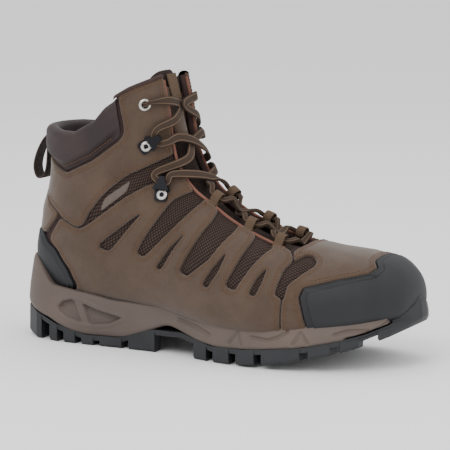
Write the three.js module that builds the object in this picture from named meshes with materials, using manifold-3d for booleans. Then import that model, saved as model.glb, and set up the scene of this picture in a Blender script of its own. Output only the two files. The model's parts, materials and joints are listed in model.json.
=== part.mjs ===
// Hiking boot, right foot, mid-cut. Units are millimetres, +X to the toe, +Y to the medial
// side, +Z up. The boot stands on z = 0 with its origin at the middle of its footprint.
import * as THREE from 'three';
import { mergeVertices } from 'three/addons/utils/BufferGeometryUtils.js';
import { TessellateModifier } from 'three/addons/modifiers/TessellateModifier.js';
import Module from 'manifold-3d';

const wasm = await Module();
wasm.setup();

// ---------------------------------------------------------------- driving dimensions
const GAP = 0.3;                        // clearance between touching pieces
const OUTER = [0.3, 2.3];               // leather and rubber panels, offset from the form
const TEXTILE = [-1.2, 0];              // mesh textile under the panels
const STIFFENER = [-2.1, -1.5];         // heel counter and toe puff
const LINING = [-4.6, -2.6];            // lining
const FOOTBED = [-8.4, -4.9];           // removable insole
const TONGUE = [-11.6, -7.9];           // padded tongue, under the lining's edges
const TONGUE_PATCH = [-7.6, -6.7];      // leather face of the tongue
const COLLAR = [0.3, 5.2];              // padded ankle collar
const RIM_ROLL = 4;                     // height of the collar's roll over the rim
const MIDSOLE_CLEAR = 2.6;              // offset of the cup that holds the upper
const SHANK = [2.9, 3.9];               // shank plate under the insole board
const FEATHER = 0.41;                   // where the panels end, turned in under the foot
const LACE_R = 1.5;
const BUMPER = 2.0;                     // thickness of the toe bumper at its foot
const MIDSOLE_NOSE = 133;               // square front end of the midsole, behind the bumper

// The form, or last: one row per station from the toe tip, over the forefoot and the instep,
// to the top of the shaft. front x, z; back x, z; centre y; half widths lateral, medial;
// height of the widest line; roundness of the upper and the lower half.
const STATIONS = [
  [140, 45, 140, 39.5, 8, 0, 0, .45, .95, .80],
  [138.6, 53, 138.6, 36.5, 8, 15, 15, .40, .92, .78],
  [133.5, 62, 133.5, 34, 8, 27, 26, .34, .90, .72],
  [123.5, 70, 123.5, 31, 7, 38, 35, .30, .90, .66],
  [107, 73, 107, 26.5, 5, 46, 43, .27, .92, .62],
  [82, 76, 82, 22.5, 1, 51, 49, .26, .94, .60],
  [52, 83, 52, 19.5, -3, 52, 49, .27, .98, .60],
  [27, 93, 22, 19, -3, 49, 44, .27, 1.02, .60],
  [8, 103, -8, 23, -2, 45, 38, .29, 1.04, .62],
  [-6, 115, -42, 26, 0, 40, 35, .33, 1.04, .66],
  [-14, 127, -80, 26, 0, 38, 35, .37, 1.02, .72],
  [-19, 138, -119, 27, 0, 37, 35, .42, .98, .78],
  [-24, 149, -143, 50, 0, 36, 35, .47, .95, .84],
  [-28, 160, -141, 84, 0, 36, 36, .50, .93, .90],
  [-31, 171, -134, 112, 0, 37, 37, .52, .92, .92],
  [-34, 182, -133, 134, 0, 38, 38, .52, .92, .92],
  [-37, 193, -133, 153, 0, 38, 38, .52, .92, .92],
  [-40, 206, -133, 172, 0, 38, 38, .52, .92, .92],
];
const TOP_STATION = STATIONS.length - 1;

// Rows and columns of the shared grid that every layer of the upper is built on.
const ROWS = [0, .5, 1.3, 2.5, 4, 5.6, 7, 8.2, 9.3, 10.4, 11.2, 12.1, 13.2, 15, 17];
const COLUMNS = 20;

// Side view of the rim of the shaft, x and z, rear to front.
const RIM = [[-150, 153.5], [-126, 153], [-112, 151], [-99, 151], [-82, 160], [-67, 177],
  [-58, 182.5], [-46, 188], [-37, 193], [-20, 197]];

// Sole plan: x, lateral y, medial y.
const SOLE_PLAN = [[-153, -3, 3], [-147, -22, 22], [-130, -35, 34], [-105, -39, 37],
  [-75, -39, 35], [-45, -39, 34], [-15, -43, 34], [15, -51, 39], [45, -56, 47], [70, -56, 51],
  [95, -51, 51], [116, -41, 48], [133, -26, 40], [143, -7, 28], [147.5, 6, 14]];
// Heights along x: ground line with its toe spring, tread base, outsole top, midsole top.
const GROUND = [[-160, 5], [-151, 2], [-143, 0], [22, 0], [45, 1.2], [60, 3], [74, 5.5],
  [101, 11.5], [119, 17], [131, 21.5], [140, 26], [149, 32]];
const OUTSOLE_TOP = [[-154, 24], [-147, 22], [-123, 17], [-113, 12], [-102, 9], [-90, 7.5],
  [-59, 8], [-47, 12], [-35, 17], [-25, 20.5], [-18, 19.5], [-8, 16], [3, 13], [19, 11],
  [44, 12.5], [83, 17], [107, 22], [120, 25.6], [148, 37.2]];
const MIDSOLE_TOP = [[-154, 60], [-142, 57], [-133, 48], [-124, 40], [-108, 38], [-90, 36],
  [-72, 33], [-40, 32], [-22, 33], [-6, 31], [13, 28], [56, 28], [80, 30], [102, 33],
  [122, 36], [139, 38], [148, 40]];
const BUMPER_TOP = [[110, 24], [117, 25.5], [130, 31], [136.5, 36], [141, 43],
  [145.5, 49], [148, 50]];

const COLOURS = {
  rubber: [0x2f3136, .85, 0], midsole: [0x766a66, .8, 0], nubuck: [0x69553f, .9, 0],
  smooth: [0x483c3a, .6, 0], mesh: [0x463a3a, .95, 0], lining: [0x54403a, .95, 0],
  webbing: [0xa07d5a, .9, 0], lace: [0x544432, .9, 0], piping: [0xaa7869, .8, 0],
  metal: [0x9a9a9a, .35, 1], black: [0x1d1d1f, .4, 1], board: [0xb09a78, .9, 0],
  steel: [0x6d7076, .4, 1], foam: [0x2c2c30, .95, 0], plastic: [0x8a7c66, .4, 0],
};

// ---------------------------------------------------------------- small maths
const mirrorT = ([s, t]) => [s, -t];

function lineAt(points, x) {
  if (x <= points[0][0]) return points[0][1];
  for (let i = 1; i < points.length; i++) {
    const [x0, y0] = points[i - 1], [x1, y1] = points[i];
    if (x <= x1) {
      const f = (x - x0) / (x1 - x0), g = f * f * (3 - 2 * f);
      return y0 + (y1 - y0) * (0.6 * f + 0.4 * g);
    }
  }
  return points[points.length - 1][1];
}

function station(s) {
  const n = STATIONS.length, c = Math.min(Math.max(s, 0), n - 1 - 1e-9);
  const i = Math.floor(c), f = c - i, P = STATIONS;
  const ghost = P[1].slice();            // mirrored past the tip, so that the toe is round
  ghost[5] *= -1;
  ghost[6] *= -1;
  ghost[1] = 2 * P[0][1] - P[1][1];
  ghost[3] = 2 * P[0][3] - P[1][3];
  const a = i === 0 ? ghost : P[i - 1], b = P[i], d = P[Math.min(i + 1, n - 1)];
  const e = i + 2 < n ? P[i + 2] : d.map((v, k) => 2 * v - b[k]);
  return b.map((v, k) => 0.5 * (2 * v + (d[k] - a[k]) * f
    + (2 * a[k] - 5 * v + 4 * d[k] - e[k]) * f * f
    + (3 * v - a[k] - 3 * d[k] + e[k]) * f * f * f));
}

// Point of the form: s along the stations, t once round the section from the front ridge
// (0) by the lateral side (.25), the bottom or back (.5) and the medial side (.75).
function form(s, t) {
  const [xF, zF, xB, zB, yc, wl, wm, k, eu, el] = station(s);
  const c = Math.cos(2 * Math.PI * t), q = Math.sin(2 * Math.PI * t), e = c >= 0 ? eu : el;
  const v = Math.sign(c) * Math.abs(c) ** e, u = Math.sign(q) * Math.abs(q) ** e;
  const w = q >= 0 ? wl : wm, h = c >= 0 ? 1 - k : k, dx = xF - xB, dz = zF - zB;
  return new THREE.Vector3(xB + k * dx + v * h * dx, yc - u * w, zB + k * dz + v * h * dz);
}

function normal(s, t) {
  if (s < 1e-6) {
    const lift = 0.85 * Math.cos(2 * Math.PI * t);
    return new THREE.Vector3(Math.cos(lift), 0, Math.sin(lift));
  }
  const h = 1e-3;
  const ds = form(Math.min(s + h, TOP_STATION), t).sub(form(s - h, t));
  const dt = form(s, t + h).sub(form(s, t - h));
  return dt.cross(ds).normalize().negate();
}

const skin = (s, t, off) => form(s, t).addScaledVector(normal(s, t), off);

// ---------------------------------------------------------------- solids
function toSolid(geometry) {
  const bare = geometry.clone();
  for (const name of Object.keys(bare.attributes)) {
    if (name !== 'position') bare.deleteAttribute(name);
  }
  const g = mergeVertices(bare, 1e-4);
  return new wasm.Manifold(new wasm.Mesh({
    numProp: 3,
    vertProperties: new Float32Array(g.attributes.position.array),
    triVerts: new Uint32Array(g.index.array),
  }));
}

function toGeometry(solid) {
  const m = solid.getMesh(), g = new THREE.BufferGeometry();
  g.setAttribute('position', new THREE.Float32BufferAttribute(m.vertProperties, 3));
  g.setIndex(new THREE.BufferAttribute(m.triVerts, 1));
  const flat = g.toNonIndexed();
  flat.computeVertexNormals();
  return flat;
}

// The largest piece of a solid, without crumbs that a cut left.
function whole(solid) {
  return solid.decompose().sort((a, b) => b.volume() - a.volume())[0];
}

const join = (first, ...rest) => rest.reduce((sum, next) => sum.add(next), first);
const cut = (first, ...rest) => rest.reduce((sum, next) => sum.subtract(next), first);

function meshOf(positions, index) {
  const g = new THREE.BufferGeometry();
  g.setAttribute('position', new THREE.Float32BufferAttribute(positions.flatMap(
    (p) => [p.x, p.y, p.z]), 3));
  g.setIndex(index);
  return g;
}

// One surface of the form's grid at an offset: its points and its triangles.
function gridSurface(off) {
  const points = [], faces = [], n = COLUMNS, half = n / 2;
  for (const s of ROWS) {
    for (let j = 0; j < n; j++) points.push(skin(s, j / n, off));
  }
  const id = (i, j) => {
    const c = (j + n) % n;
    return i === 0 && c > half ? n - c : i * n + c;   // the tip closes on itself
  };
  for (let i = 0; i < ROWS.length - 1; i++) {
    for (let j = 0; j < n; j++) {
      const a = id(i, j), b = id(i, j + 1), c = id(i + 1, j), d = id(i + 1, j + 1);
      if (a !== b) faces.push([a, c, b]);
      if (c !== d) faces.push([b, c, d]);
    }
  }
  return { points, faces, rim: Array.from({ length: n }, (_, j) => id(ROWS.length - 1, j)) };
}

// Closed shell between two offsets of the form, open at the shaft's top.
function layer([inner, outer]) {
  const a = gridSurface(outer), b = gridSurface(inner), k = a.points.length;
  const faces = [...a.faces, ...b.faces.map(([x, y, z]) => [x + k, z + k, y + k])];
  a.rim.forEach((p, j) => {
    const q = a.rim[(j + 1) % a.rim.length];
    faces.push([p, p + k, q], [q, p + k, q + k]);
  });
  return fixedSolid([...a.points, ...b.points], faces);
}

// Closed solid of the form at an offset, with a flat lid.
function filledForm(off) {
  const a = gridSurface(off), lid = new THREE.Vector3();
  a.rim.forEach((p) => lid.addScaledVector(a.points[p], 1 / a.rim.length));
  const k = a.points.length, faces = [...a.faces];
  a.rim.forEach((p, j) => faces.push([p, k, a.rim[(j + 1) % a.rim.length]]));
  return fixedSolid([...a.points, lid], faces);
}

// A solid from points and faces, turned inside out when its volume is negative.
function fixedSolid(points, faces) {
  let volume = 0;
  for (const [a, b, c] of faces) {
    volume += points[a].dot(points[b].clone().cross(points[c]));
  }
  const turned = volume < 0 ? faces.map(([a, b, c]) => [a, c, b]) : faces;
  return toSolid(meshOf(points, turned.flat()));
}

// Outline with rounded corners; u and v are roughly millimetres on the form.
const U = 16, V = 250;
function roundedShape(corners, r) {
  if (r === 0) return polygon(corners);
  const shape = new THREE.Shape(), n = corners.length;
  const at = (i) => new THREE.Vector2(...corners[(i + n) % n]);
  corners.forEach((_, i) => {
    const p = at(i), a = at(i - 1).sub(p), b = at(i + 1).sub(p);
    const near = (v) => p.clone().addScaledVector(v.clone().normalize(),
      Math.min(r, v.length() * 0.45));
    const from = near(a), to = near(b);
    if (i === 0) shape.moveTo(from.x, from.y); else shape.lineTo(from.x, from.y);
    shape.quadraticCurveTo(p.x, p.y, to.x, to.y);
  });
  shape.closePath();
  return shape;
}

// Cutter through every layer, from an outline in (s, t) with corners rounded by r.
function cutter(outline, r = 2, low = -2, high = 7) {
  const shape = roundedShape(outline.map(([s, t]) => [s * U, t * V]), r);
  let g = new THREE.ExtrudeGeometry(shape, { depth: 1, bevelEnabled: false, curveSegments: 1 });
  g = new TessellateModifier(22, 20).modify(g);
  const p = g.attributes.position;
  for (let i = 0; i < p.count; i++) {
    const v = skin(Math.min(Math.max(p.getX(i) / U, 0.02), TOP_STATION), p.getY(i) / V,
      low + (high - low) * p.getZ(i));
    p.setXYZ(i, v.x, v.y, v.z);
  }
  g.deleteAttribute('normal');
  g.deleteAttribute('uv');
  const solid = toSolid(g);
  return solid.volume() > 0 ? solid : fixedFlip(g);
}

function fixedFlip(g) {
  const m = mergeVertices(g, 1e-4), index = Array.from(m.index.array);
  for (let i = 0; i < index.length; i += 3) [index[i], index[i + 1]] = [index[i + 1], index[i]];
  m.setIndex(index);
  return toSolid(m);
}

const bothSides = (outline) => [...outline, ...outline.map(mirrorT).reverse()];

// Everything below the rim line lowered by a drop, as a prism across the boot.
function belowRim(drop) {
  const shape = new THREE.Shape();
  shape.moveTo(-200, -20);
  RIM.forEach(([x, z]) => shape.lineTo(x, z - drop));
  shape.lineTo(200, 197 - drop);
  shape.lineTo(200, -20);
  shape.closePath();
  return sidePrism(shape, -90, 90);
}

// Prism of a side-view outline (x, z) between two y values.
function sidePrism(shape, y0, y1) {
  const g = new THREE.ExtrudeGeometry(shape, { depth: y1 - y0, bevelEnabled: false });
  g.rotateX(Math.PI / 2);
  g.translate(0, y1, 0);
  return toSolid(g);
}

function polygon(points) {
  return new THREE.Shape(points.map(([x, y]) => new THREE.Vector2(x, y)));
}

// ---------------------------------------------------------------- the sole
const SIDES = [1, 2].map((k) => new THREE.CatmullRomCurve3(
  SOLE_PLAN.map((p) => new THREE.Vector3(p[0], p[k], 0)), false, 'centripetal'));

// Ring of the sole's plan, moved in by an inset: lateral heel to toe, then medial back.
function soleRing(inset, steps = 16) {
  const ring = [];
  for (const [side, curve] of SIDES.entries()) {
    const half = [];
    for (let i = 0; i <= steps; i++) {
      const p = curve.getPoint(i / steps), d = curve.getTangent(i / steps);
      const n = new THREE.Vector3(-d.y, d.x, 0).normalize().multiplyScalar(side ? -1 : 1);
      half.push(p.addScaledVector(n, inset));
    }
    ring.push(...(side ? half.reverse() : half));
  }
  return ring;
}

// Solid from rings of the plan: each level has an inset and a height function of x.
function soleSolid(levels) {
  const points = [], faces = [], n = soleRing(0).length;
  for (const [inset, height] of levels) {
    points.push(...soleRing(inset).map((p) => new THREE.Vector3(p.x, p.y, height(p.x))));
  }
  for (let i = 0; i < levels.length - 1; i++) {
    for (let j = 0; j < n; j++) {
      const a = i * n + j, b = i * n + (j + 1) % n;
      faces.push([a, b, a + n], [b, b + n, a + n]);
    }
  }
  const top = (levels.length - 1) * n;
  for (let j = 0; j < n / 2 - 1; j++) {
    const l = j, r = n - 1 - j;
    faces.push([l, r, l + 1], [l + 1, r, r - 1]);
    faces.push([top + l, top + l + 1, top + r], [top + l + 1, top + r - 1, top + r]);
  }
  return fixedSolid(points, faces);
}

const ground = (x) => lineAt(GROUND, x);
const outsoleTop = (x) => lineAt(OUTSOLE_TOP, x);
const midsoleTop = (x) => lineAt(MIDSOLE_TOP, x);
const treadBase = (x) => Math.max(outsoleTop(x) - 4, ground(x) + 2.5);

// Lugs in plan: edge blocks on both sides and chevrons between them.
function lugs() {
  const blocks = [];
  const block = (points) => {
    const g = new THREE.ExtrudeGeometry(polygon(points), { depth: 70, bevelEnabled: false });
    g.translate(0, 0, -5);
    blocks.push(toSolid(g));
  };
  const heel = [[-122, -113], [-109, -98], [-94, -83], [-79, -60], [-56, -33]];
  const fore = [[0, 12], [17, 31], [36, 51], [56, 84], [89, 104], [109, 121]];
  for (const [x0, x1] of [...heel, ...fore]) {
    for (const y of [-1, 1]) {
      block([[x0, 70 * y], [x1, 70 * y], [x1 - 2, 29 * y], [x1 - 6, 24 * y], [x0, 26 * y]]
        .map(([a, b]) => [a, b]));
    }
  }
  block([[-170, -70], [-127, -70], [-131, -20], [-134, 0], [-131, 20], [-127, 70], [-170, 70]]);
  block([[126, -70], [170, -70], [170, 70], [126, 70], [131, 20], [128, 8], [131, -10]]);
  for (const x of [-112, -92, -72, 10, 30, 50, 70, 90]) {
    block([[x, -19], [x + 9, -19], [x + 15, 2], [x + 9, 21], [x, 21], [x + 6, 2]]);
  }
  return join(...blocks);
}

function outsole() {
  const under = (x) => outsoleTop(x) - GAP;
  const full = soleSolid([[1.5, ground], [0, (x) => ground(x) + 2], [0.3, under]]);
  const plate = soleSolid([[0.8, treadBase], [0.3, under]]);
  return whole(join(plate, full.intersect(lugs()), bumper(0)));
}

// Rubber bumper round the toe, leaning in to the toe cap; grow widens it to cut its own
// seat in the midsole.
function bumper(grow) {
  const low = (x) => outsoleTop(x) - 2, high = (x) => lineAt(BUMPER_TOP, x) + grow;
  const outer = soleSolid([[-grow, low], [1.2 - grow, (x) => high(x) - 5], [3.4 - grow, high]]);
  const inner = soleSolid([[BUMPER + grow, () => -5], [BUMPER + grow, () => 33 - 4 * grow],
    [11 + grow, () => 43 - 4 * grow], [14 + grow, () => 90]]);
  const front = sidePrism(polygon([[112 - grow, -20], [170, -20], [170, 90], [112 - grow, 90]]),
    -90, 90);
  return cut(outer.intersect(front), inner, filledForm(MIDSOLE_CLEAR));
}

// Sculpted recesses in the sidewall: an eye shape at the heel and slanted grooves.
function sidewallCuts() {
  const eye = new THREE.Shape();
  eye.moveTo(-115, 26);
  eye.quadraticCurveTo(-108, 33, -98, 30);
  eye.quadraticCurveTo(-82, 25, -62, 21);
  eye.quadraticCurveTo(-74, 15, -91, 15.5);
  eye.quadraticCurveTo(-110, 17, -115, 26);
  const strut = polygon([[-92, 10], [-86, 10], [-98, 36], [-104, 36]]);
  const grooves = [[[-16, 24], [-12, 26], [14, 19], [10, 17]], [[30, 14], [36, 22], [40, 14],
    [36, 25.5]], [[78, 18], [83, 25], [88, 19], [83, 28]], [[104, 25], [108, 28], [122, 28.5],
    [122, 26.5]]];
  const cuts = [];
  for (const side of [-1, 1]) {
    const depth = side < 0 ? [-60, -37] : [33, 60];
    cuts.push(sidePrism(eye, ...depth).subtract(sidePrism(strut, -70, 70)));
    for (const g of grooves) {
      const x = g[0][0], reach = side < 0 ? (x < 0 ? 44 : 52.5) : (x < 0 ? 34.5 : 46.5);
      cuts.push(sidePrism(polygon(g), ...(side < 0 ? [-70, -reach] : [reach, 70])));
    }
  }
  return cuts;
}

function midsole() {
  const mix = (f) => (x) => outsoleTop(x) + (midsoleTop(x) - outsoleTop(x)) * f;
  const block = soleSolid([[0.8, mix(0)], [-0.6, mix(0.12)], [0.2, mix(0.4)],
    [1.8, mix(0.7)], [3.2, mix(0.92)], [4.8, mix(1)]]);
  const nose = sidePrism(polygon([[MIDSOLE_NOSE, -20], [170, -20], [170, 90],
    [MIDSOLE_NOSE, 90]]), -90, 90);
  return whole(cut(block, nose, filledForm(MIDSOLE_CLEAR), cutShank(GAP), bumper(GAP),
    ...sidewallCuts()));
}

// ---------------------------------------------------------------- the upper's outlines
const TOE_EDGE = [[3.4, 0], [3.36, .059], [3.08, .091], [3.3, .125], [4.26, .15],
  [5.0, .176], [5.06, .2], [4.88, .263], [4.8, FEATHER]];
const VAMP_BACK = [[5.7, 0], [5.64, .055], [5.45, .098], [5.43, .2], [5.45, .27],
  [5.45, FEATHER]];
const THROAT = [[5.42, 0], [5.58, .072], [7, .067], [8.3, .069], [9.6, .087], [11.3, .087],
  [13, .078], [17, .066]];
const ANKLE_SEAM = [[11.7, .25], [11.83, .273], [12.15, .29], [12.68, .329], [13.7, .426],
  [13.9, .5]];
const HEEL_EDGE = [[12.85, .5], [12.8, .431], [12.47, .384], [11.86, .338], [11.31, .334],
  [10.94, .352], [10.85, FEATHER]];
const COLLAR_EDGE = [[14.95, .5], [14.8, .43], [13.8, .331], [13.62, .26], [13.78, .206],
  [13.99, .198], [17, .2]];
const WINDOWS = [
  [[11.72, .256], [11.95, .254], [12.13, .225], [12.13, .184], [11.77, .122], [11.45, .05],
    [10.75, .05], [10.74, .105], [11.28, .154], [11.5, .19]],
  [[11.08, .256], [10.64, .251], [10.6, .179], [10.78, .199]],
  [[9.91, .234], [9.64, .235], [9.06, .134], [8.84, .09], [8.84, .04], [9.47, .04],
    [9.5, .09], [9.93, .13], [9.96, .2]],
  [[9.18, .242], [9.0, .242], [8.86, .189], [8.72, .158], [9.02, .198]],
  [[8.45, .224], [8.15, .223], [7.62, .171], [7.23, .095], [7.2, .04], [8.13, .04],
    [8.1, .1], [8.38, .191]],
  [[7.65, .223], [7.46, .225], [7.21, .182], [7.14, .14], [7.44, .184]],
  [[6.94, .206], [6.62, .208], [6.41, .169], [6.04, .086], [6.02, .04], [6.62, .04],
    [6.6, .095], [6.73, .147]],
  [[6.25, .21], [6.07, .211], [5.95, .177], [5.93, .14], [6.12, .172]],
  [[5.63, .2], [5.42, .203], [5.38, .174], [4.95, .112], [4.95, .09], [5.13, .072],
    [5.29, .075], [5.56, .134]],
];

const side = (outline, m) => (m > 0 ? outline.map(([s, t]) => [s, 1 - t]) : outline);
const shifted = (outline, ds, dt = 0) => outline.map(([s, t]) => [s + ds, t + dt]);

// ---------------------------------------------------------------- the upper's pieces
const outerLayer = layer(OUTER).intersect(belowRim(0));
const windows = [0, 1].map((m) => WINDOWS.map((w) => cutter(side(w, m), 0)));
const eyelets = [0, 1].map((m) => frameOn(14.7, m ? 1 - .134 : .134, 0));

// What lies in front of an edge, without the strip under the foot.
function frontOf(solid, edge, low, high) {
  const end = edge[edge.length - 1][1], top = TOP_STATION - 0.01;
  const behind = cutter(bothSides([...edge.slice(1), [top, end]]), 0.4, low, high);
  const low0 = end - 0.006;
  const under = cutter([[0.7, low0], [top, low0], [top, 1 - low0], [0.7, 1 - low0]], 0.2, low,
    high);
  return whole(cut(solid, behind, under));
}

function toeCap() {
  return frontOf(outerLayer, TOE_EDGE, -2, 7);
}

function vamp() {
  const front = shifted(TOE_EDGE, 0.16);
  return cut(outerLayer.intersect(cutter(bothSides([...front, ...VAMP_BACK.slice().reverse()]),
    0.3)), ...windows[0].slice(8), ...windows[1].slice(8), throat());
}

function throat() {
  return cutter(bothSides(THROAT.slice(1)), 0.5, -8, 8);
}

function quarter(m) {
  const outline = [...shifted(VAMP_BACK.slice(1), 0.03), ...shifted(HEEL_EDGE.slice(1), -0.08,
    -0.008).reverse().slice(0, 4), [12.2, .348], [12.44, .314],
  ...shifted(ANKLE_SEAM.slice(0, 3), -0.03).reverse(), [11.4, .06], [5.7, .05]];
  return whole(cut(outerLayer.intersect(cutter(side(outline, m), 0.3)), ...windows[m],
    throat()));
}

function anklePanel(m) {
  const outline = [...ANKLE_SEAM.slice(0, 5), [13.9, .497], [14.65, .497],
    ...shifted(COLLAR_EDGE.slice(1, 6), -0.13, -0.008), [16.99, .192], [16.99, .05], [11.4, .05]];
  return whole(cut(outerLayer.intersect(cutter(side(outline, m), 0.3)), windows[m][0],
    throat(), eyeletHole(m)));
}

const aroundHeel = (half) => [...half, ...half.map(([s, t]) => [s, 1 - t]).reverse()];

function backstay() {
  return outerLayer.intersect(cutter(aroundHeel([[12.83, .431], [12.5, .384], [12.43, .37],
    [12.56, .329], ...shifted(ANKLE_SEAM.slice(3, 5), -0.03)]), 0.3));
}

function heelCap() {
  return outerLayer.intersect(cutter(aroundHeel(HEEL_EDGE.slice(1)), 0.3));
}

function insoleBoard() {
  return layer(OUTER).intersect(cutter([[1.2, FEATHER + .008], [10.8, FEATHER + .008],
    [10.8, .992 - FEATHER], [1.2, .992 - FEATHER]], 5));
}

function cutShank(grow) {
  const g = grow / V, h = grow / U;
  return layer([SHANK[0] - 2 * grow, SHANK[1] + grow]).intersect(cutter([[6.3 - h, .46 - g],
    [10.4 + h, .46 - g], [10.4 + h, .54 + g], [6.3 - h, .54 + g]], 4, 0, 7));
}

function shank() {
  return layer(SHANK).intersect(cutter([[6.3, .46], [10.4, .46], [10.4, .54], [6.3, .54]], 4,
    0, 7));
}

function collar() {
  const edge = cutter(aroundHeel(COLLAR_EDGE.slice(1)), 0.4, -8, 9);
  const outer = layer(COLLAR).intersect(belowRim(0));
  const roll = layer([LINING[0], COLLAR[1]]).intersect(belowRim(0)).subtract(
    belowRim(RIM_ROLL));
  return whole(join(outer, roll).intersect(edge));
}

function inner(range, drop) {
  return cut(layer(range).intersect(belowRim(drop)), throat());
}

function textile() {
  return whole(cut(inner(TEXTILE, RIM_ROLL + GAP), eyeletHole(0), eyeletHole(1)));
}

function lining() {
  return whole(cut(inner(LINING, RIM_ROLL + GAP), eyeletHole(0), eyeletHole(1)));
}

function toePuff() {
  return frontOf(layer(STIFFENER), [[3.4, 0], [3.6, .1], [3.7, .2], [3.4, .36]], -5, 2);
}

function heelCounter() {
  return layer(STIFFENER).intersect(cutter([[10.9, .3], [12.8, .3], [13.2, .4], [13.2, .6],
    [12.8, .7], [10.9, .7]], 3, -5, 2));
}

function footbed() {
  const sole = cutter([[2, .418], [10.4, .418], [10.4, .582], [2, .582]], 4, -11, -1);
  return whole(layer(FOOTBED).intersect(sole));
}

function tongue() {
  return layer(TONGUE).intersect(cutter(bothSides([[5.2, .075], [8, .1], [11, .12],
    [13, .108], [15.8, .104], [16.15, .05]]), 4, -13, -4));
}

function tonguePatch() {
  return layer(TONGUE_PATCH).intersect(cutter([[12.2, .052], [15.2, .06], [15.2, -.06],
    [12.2, -.052]], 3, -9, -2));
}

function wovenLabel() {
  return layer([0.3, 1.1]).intersect(cutter([[11.72, .236], [11.98, .225], [11.86, .175],
    [11.62, .186]], 0.6));
}

// ---------------------------------------------------------------- lacing
// Local frame on the form: x along the surface at a turn from the direction of the front
// ridge, z along the normal, origin at an offset.
function frameOn(s, t, off, turn = 0) {
  const n = normal(s, t), o = skin(s, t, off), sign = t > .5 ? -1 : 1;
  const ridge = skin(s, t - 0.01 * sign, off).sub(o);
  const x = ridge.addScaledVector(n, -ridge.dot(n)).normalize();
  x.applyAxisAngle(n, turn * sign);
  const y = new THREE.Vector3().crossVectors(n, x);
  return new THREE.Matrix4().makeBasis(x, y, n).setPosition(o);
}

function placed(geometry, frame) {
  return geometry.clone().applyMatrix4(frame);
}

function eyeletHole(m) {
  const g = new THREE.CylinderGeometry(2.9, 2.9, 30, 12).rotateX(Math.PI / 2);
  return toSolid(placed(g, eyelets[m]));
}

// Turned ring: closed profile of radius and height, swept about the normal.
function ringGeometry(profile) {
  const closed = [...profile, profile[0]].map(([r, z]) => new THREE.Vector2(r, z));
  return new THREE.LatheGeometry(closed, 12).rotateX(Math.PI / 2);
}

function grommet(m) {
  const high = OUTER[1] + GAP, low = LINING[0] - 0.3;
  return placed(ringGeometry([[2, low], [2.6, low], [2.6, high], [4.2, high],
    [4.2, high + .7], [3, high + 1.1], [2, high + .6]]), eyelets[m]);
}

function washer(m) {
  const top = LINING[0] - 1.5;
  return placed(ringGeometry([[2, top - .9], [4.2, top - .9], [4.2, top], [2, top]]),
    eyelets[m]);
}

const HOOKS = [[10.42, .138, 0.62], [12.72, .14, 0.05]];      // s, t, turn
const LOOPS = [[5.98, .071], [6.92, .0675], [8.48, .0705]];

// Speed hook: base plate, neck towards the throat, and a top plate that comes back.
function hook(i, m) {
  const [s, t, turn] = HOOKS[i];
  const profile = polygon([[-4.4, 0], [12.6, 0], [12.6, 6], [3.6, 6], [3.6, 5], [11.4, 5],
    [11.4, 1], [-4.4, 1]]);
  const bent = new THREE.ExtrudeGeometry(profile, { depth: 14, bevelEnabled: false })
    .rotateX(Math.PI / 2).translate(0, 7, 0);
  const plan = new THREE.ExtrudeGeometry(polygon([[-4.6, -3], [-3, -4.6], [2.4, -4.6],
    [3.6, -6], [9, -2.6], [12.8, -1.9], [12.8, 1.9], [9, 2.6], [3.6, 6], [2.4, 4.6],
    [-3, 4.6], [-4.6, 3]]),
  { depth: 12, bevelEnabled: false }).translate(0, 0, -3);
  const body = toSolid(bent).intersect(toSolid(plan));
  return placed(toGeometry(body), frameOn(s, m ? 1 - t : t, OUTER[1] + GAP + .4, turn));
}

function hookRivet(i, m) {
  const [s, t, turn] = HOOKS[i];
  return placed(ringGeometry([[1.6, 1.3], [3.6, 1.3], [3.6, 1.9], [2.6, 2.3], [1.6, 1.9]]),
    frameOn(s, m ? 1 - t : t, OUTER[1] + GAP + .4, turn));
}

// Webbing loop: a strap on the panel that turns round the lace past the throat's edge.
const LOOP_EYE = [6.8, -2.4];           // centre of the eye, past the throat's edge
function webbingLoop(i, m) {
  const [s, t] = LOOPS[i], [x, z] = LOOP_EYE, shape = new THREE.Shape();
  shape.moveTo(-8, 0);
  shape.lineTo(x - 3, 0);
  shape.absarc(x, z, 4.8, 2.2, -1.9, true);
  shape.absarc(x, z, 3.3, -1.9, 2.2, false);
  shape.lineTo(x - 3.4, -1.5);
  shape.lineTo(-8, -1.5);
  shape.closePath();
  const g = new THREE.ExtrudeGeometry(shape, { depth: 7.6, bevelEnabled: false,
    curveSegments: 5 }).rotateX(Math.PI / 2).translate(0, 3.8, 0);
  return placed(g, frameOn(s, m ? 1 - t : t, OUTER[1] + GAP + 2));
}

// Points of the lace at a guide, in, round and out, from below to above.
function guide(kind, i, m) {
  const [x, z] = LOOP_EYE;
  const [s, t, turn] = kind === 'loop' ? [...LOOPS[i], 0] : HOOKS[i];
  const lift = kind === 'loop' ? 2 : 0.4;
  const local = kind === 'loop'
    ? [[x + 6, -9, z - 0.4], [x + 0.5, -4.6, z], [x + 0.5, 4.6, z], [x + 6, 9, z - 0.4]]
    : [[14.6, -5.8, 3.2], [8.9, -3.1, 3], [8.9, 3.1, 3], [14.6, 5.8, 3.2]];
  const f = frameOn(s, m ? 1 - t : t, OUTER[1] + GAP + lift, turn);
  const points = local.map((p) => new THREE.Vector3(...p).applyMatrix4(f));
  return m ? points.reverse() : points;
}

// Where two strands cross on the ridge, and the offsets of the upper and the lower one.
const CROSSINGS = [6.3, 7.65, 9.45, 11.6, 13.9];
const OVER = -1.2, UNDER = -4.6;

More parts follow.
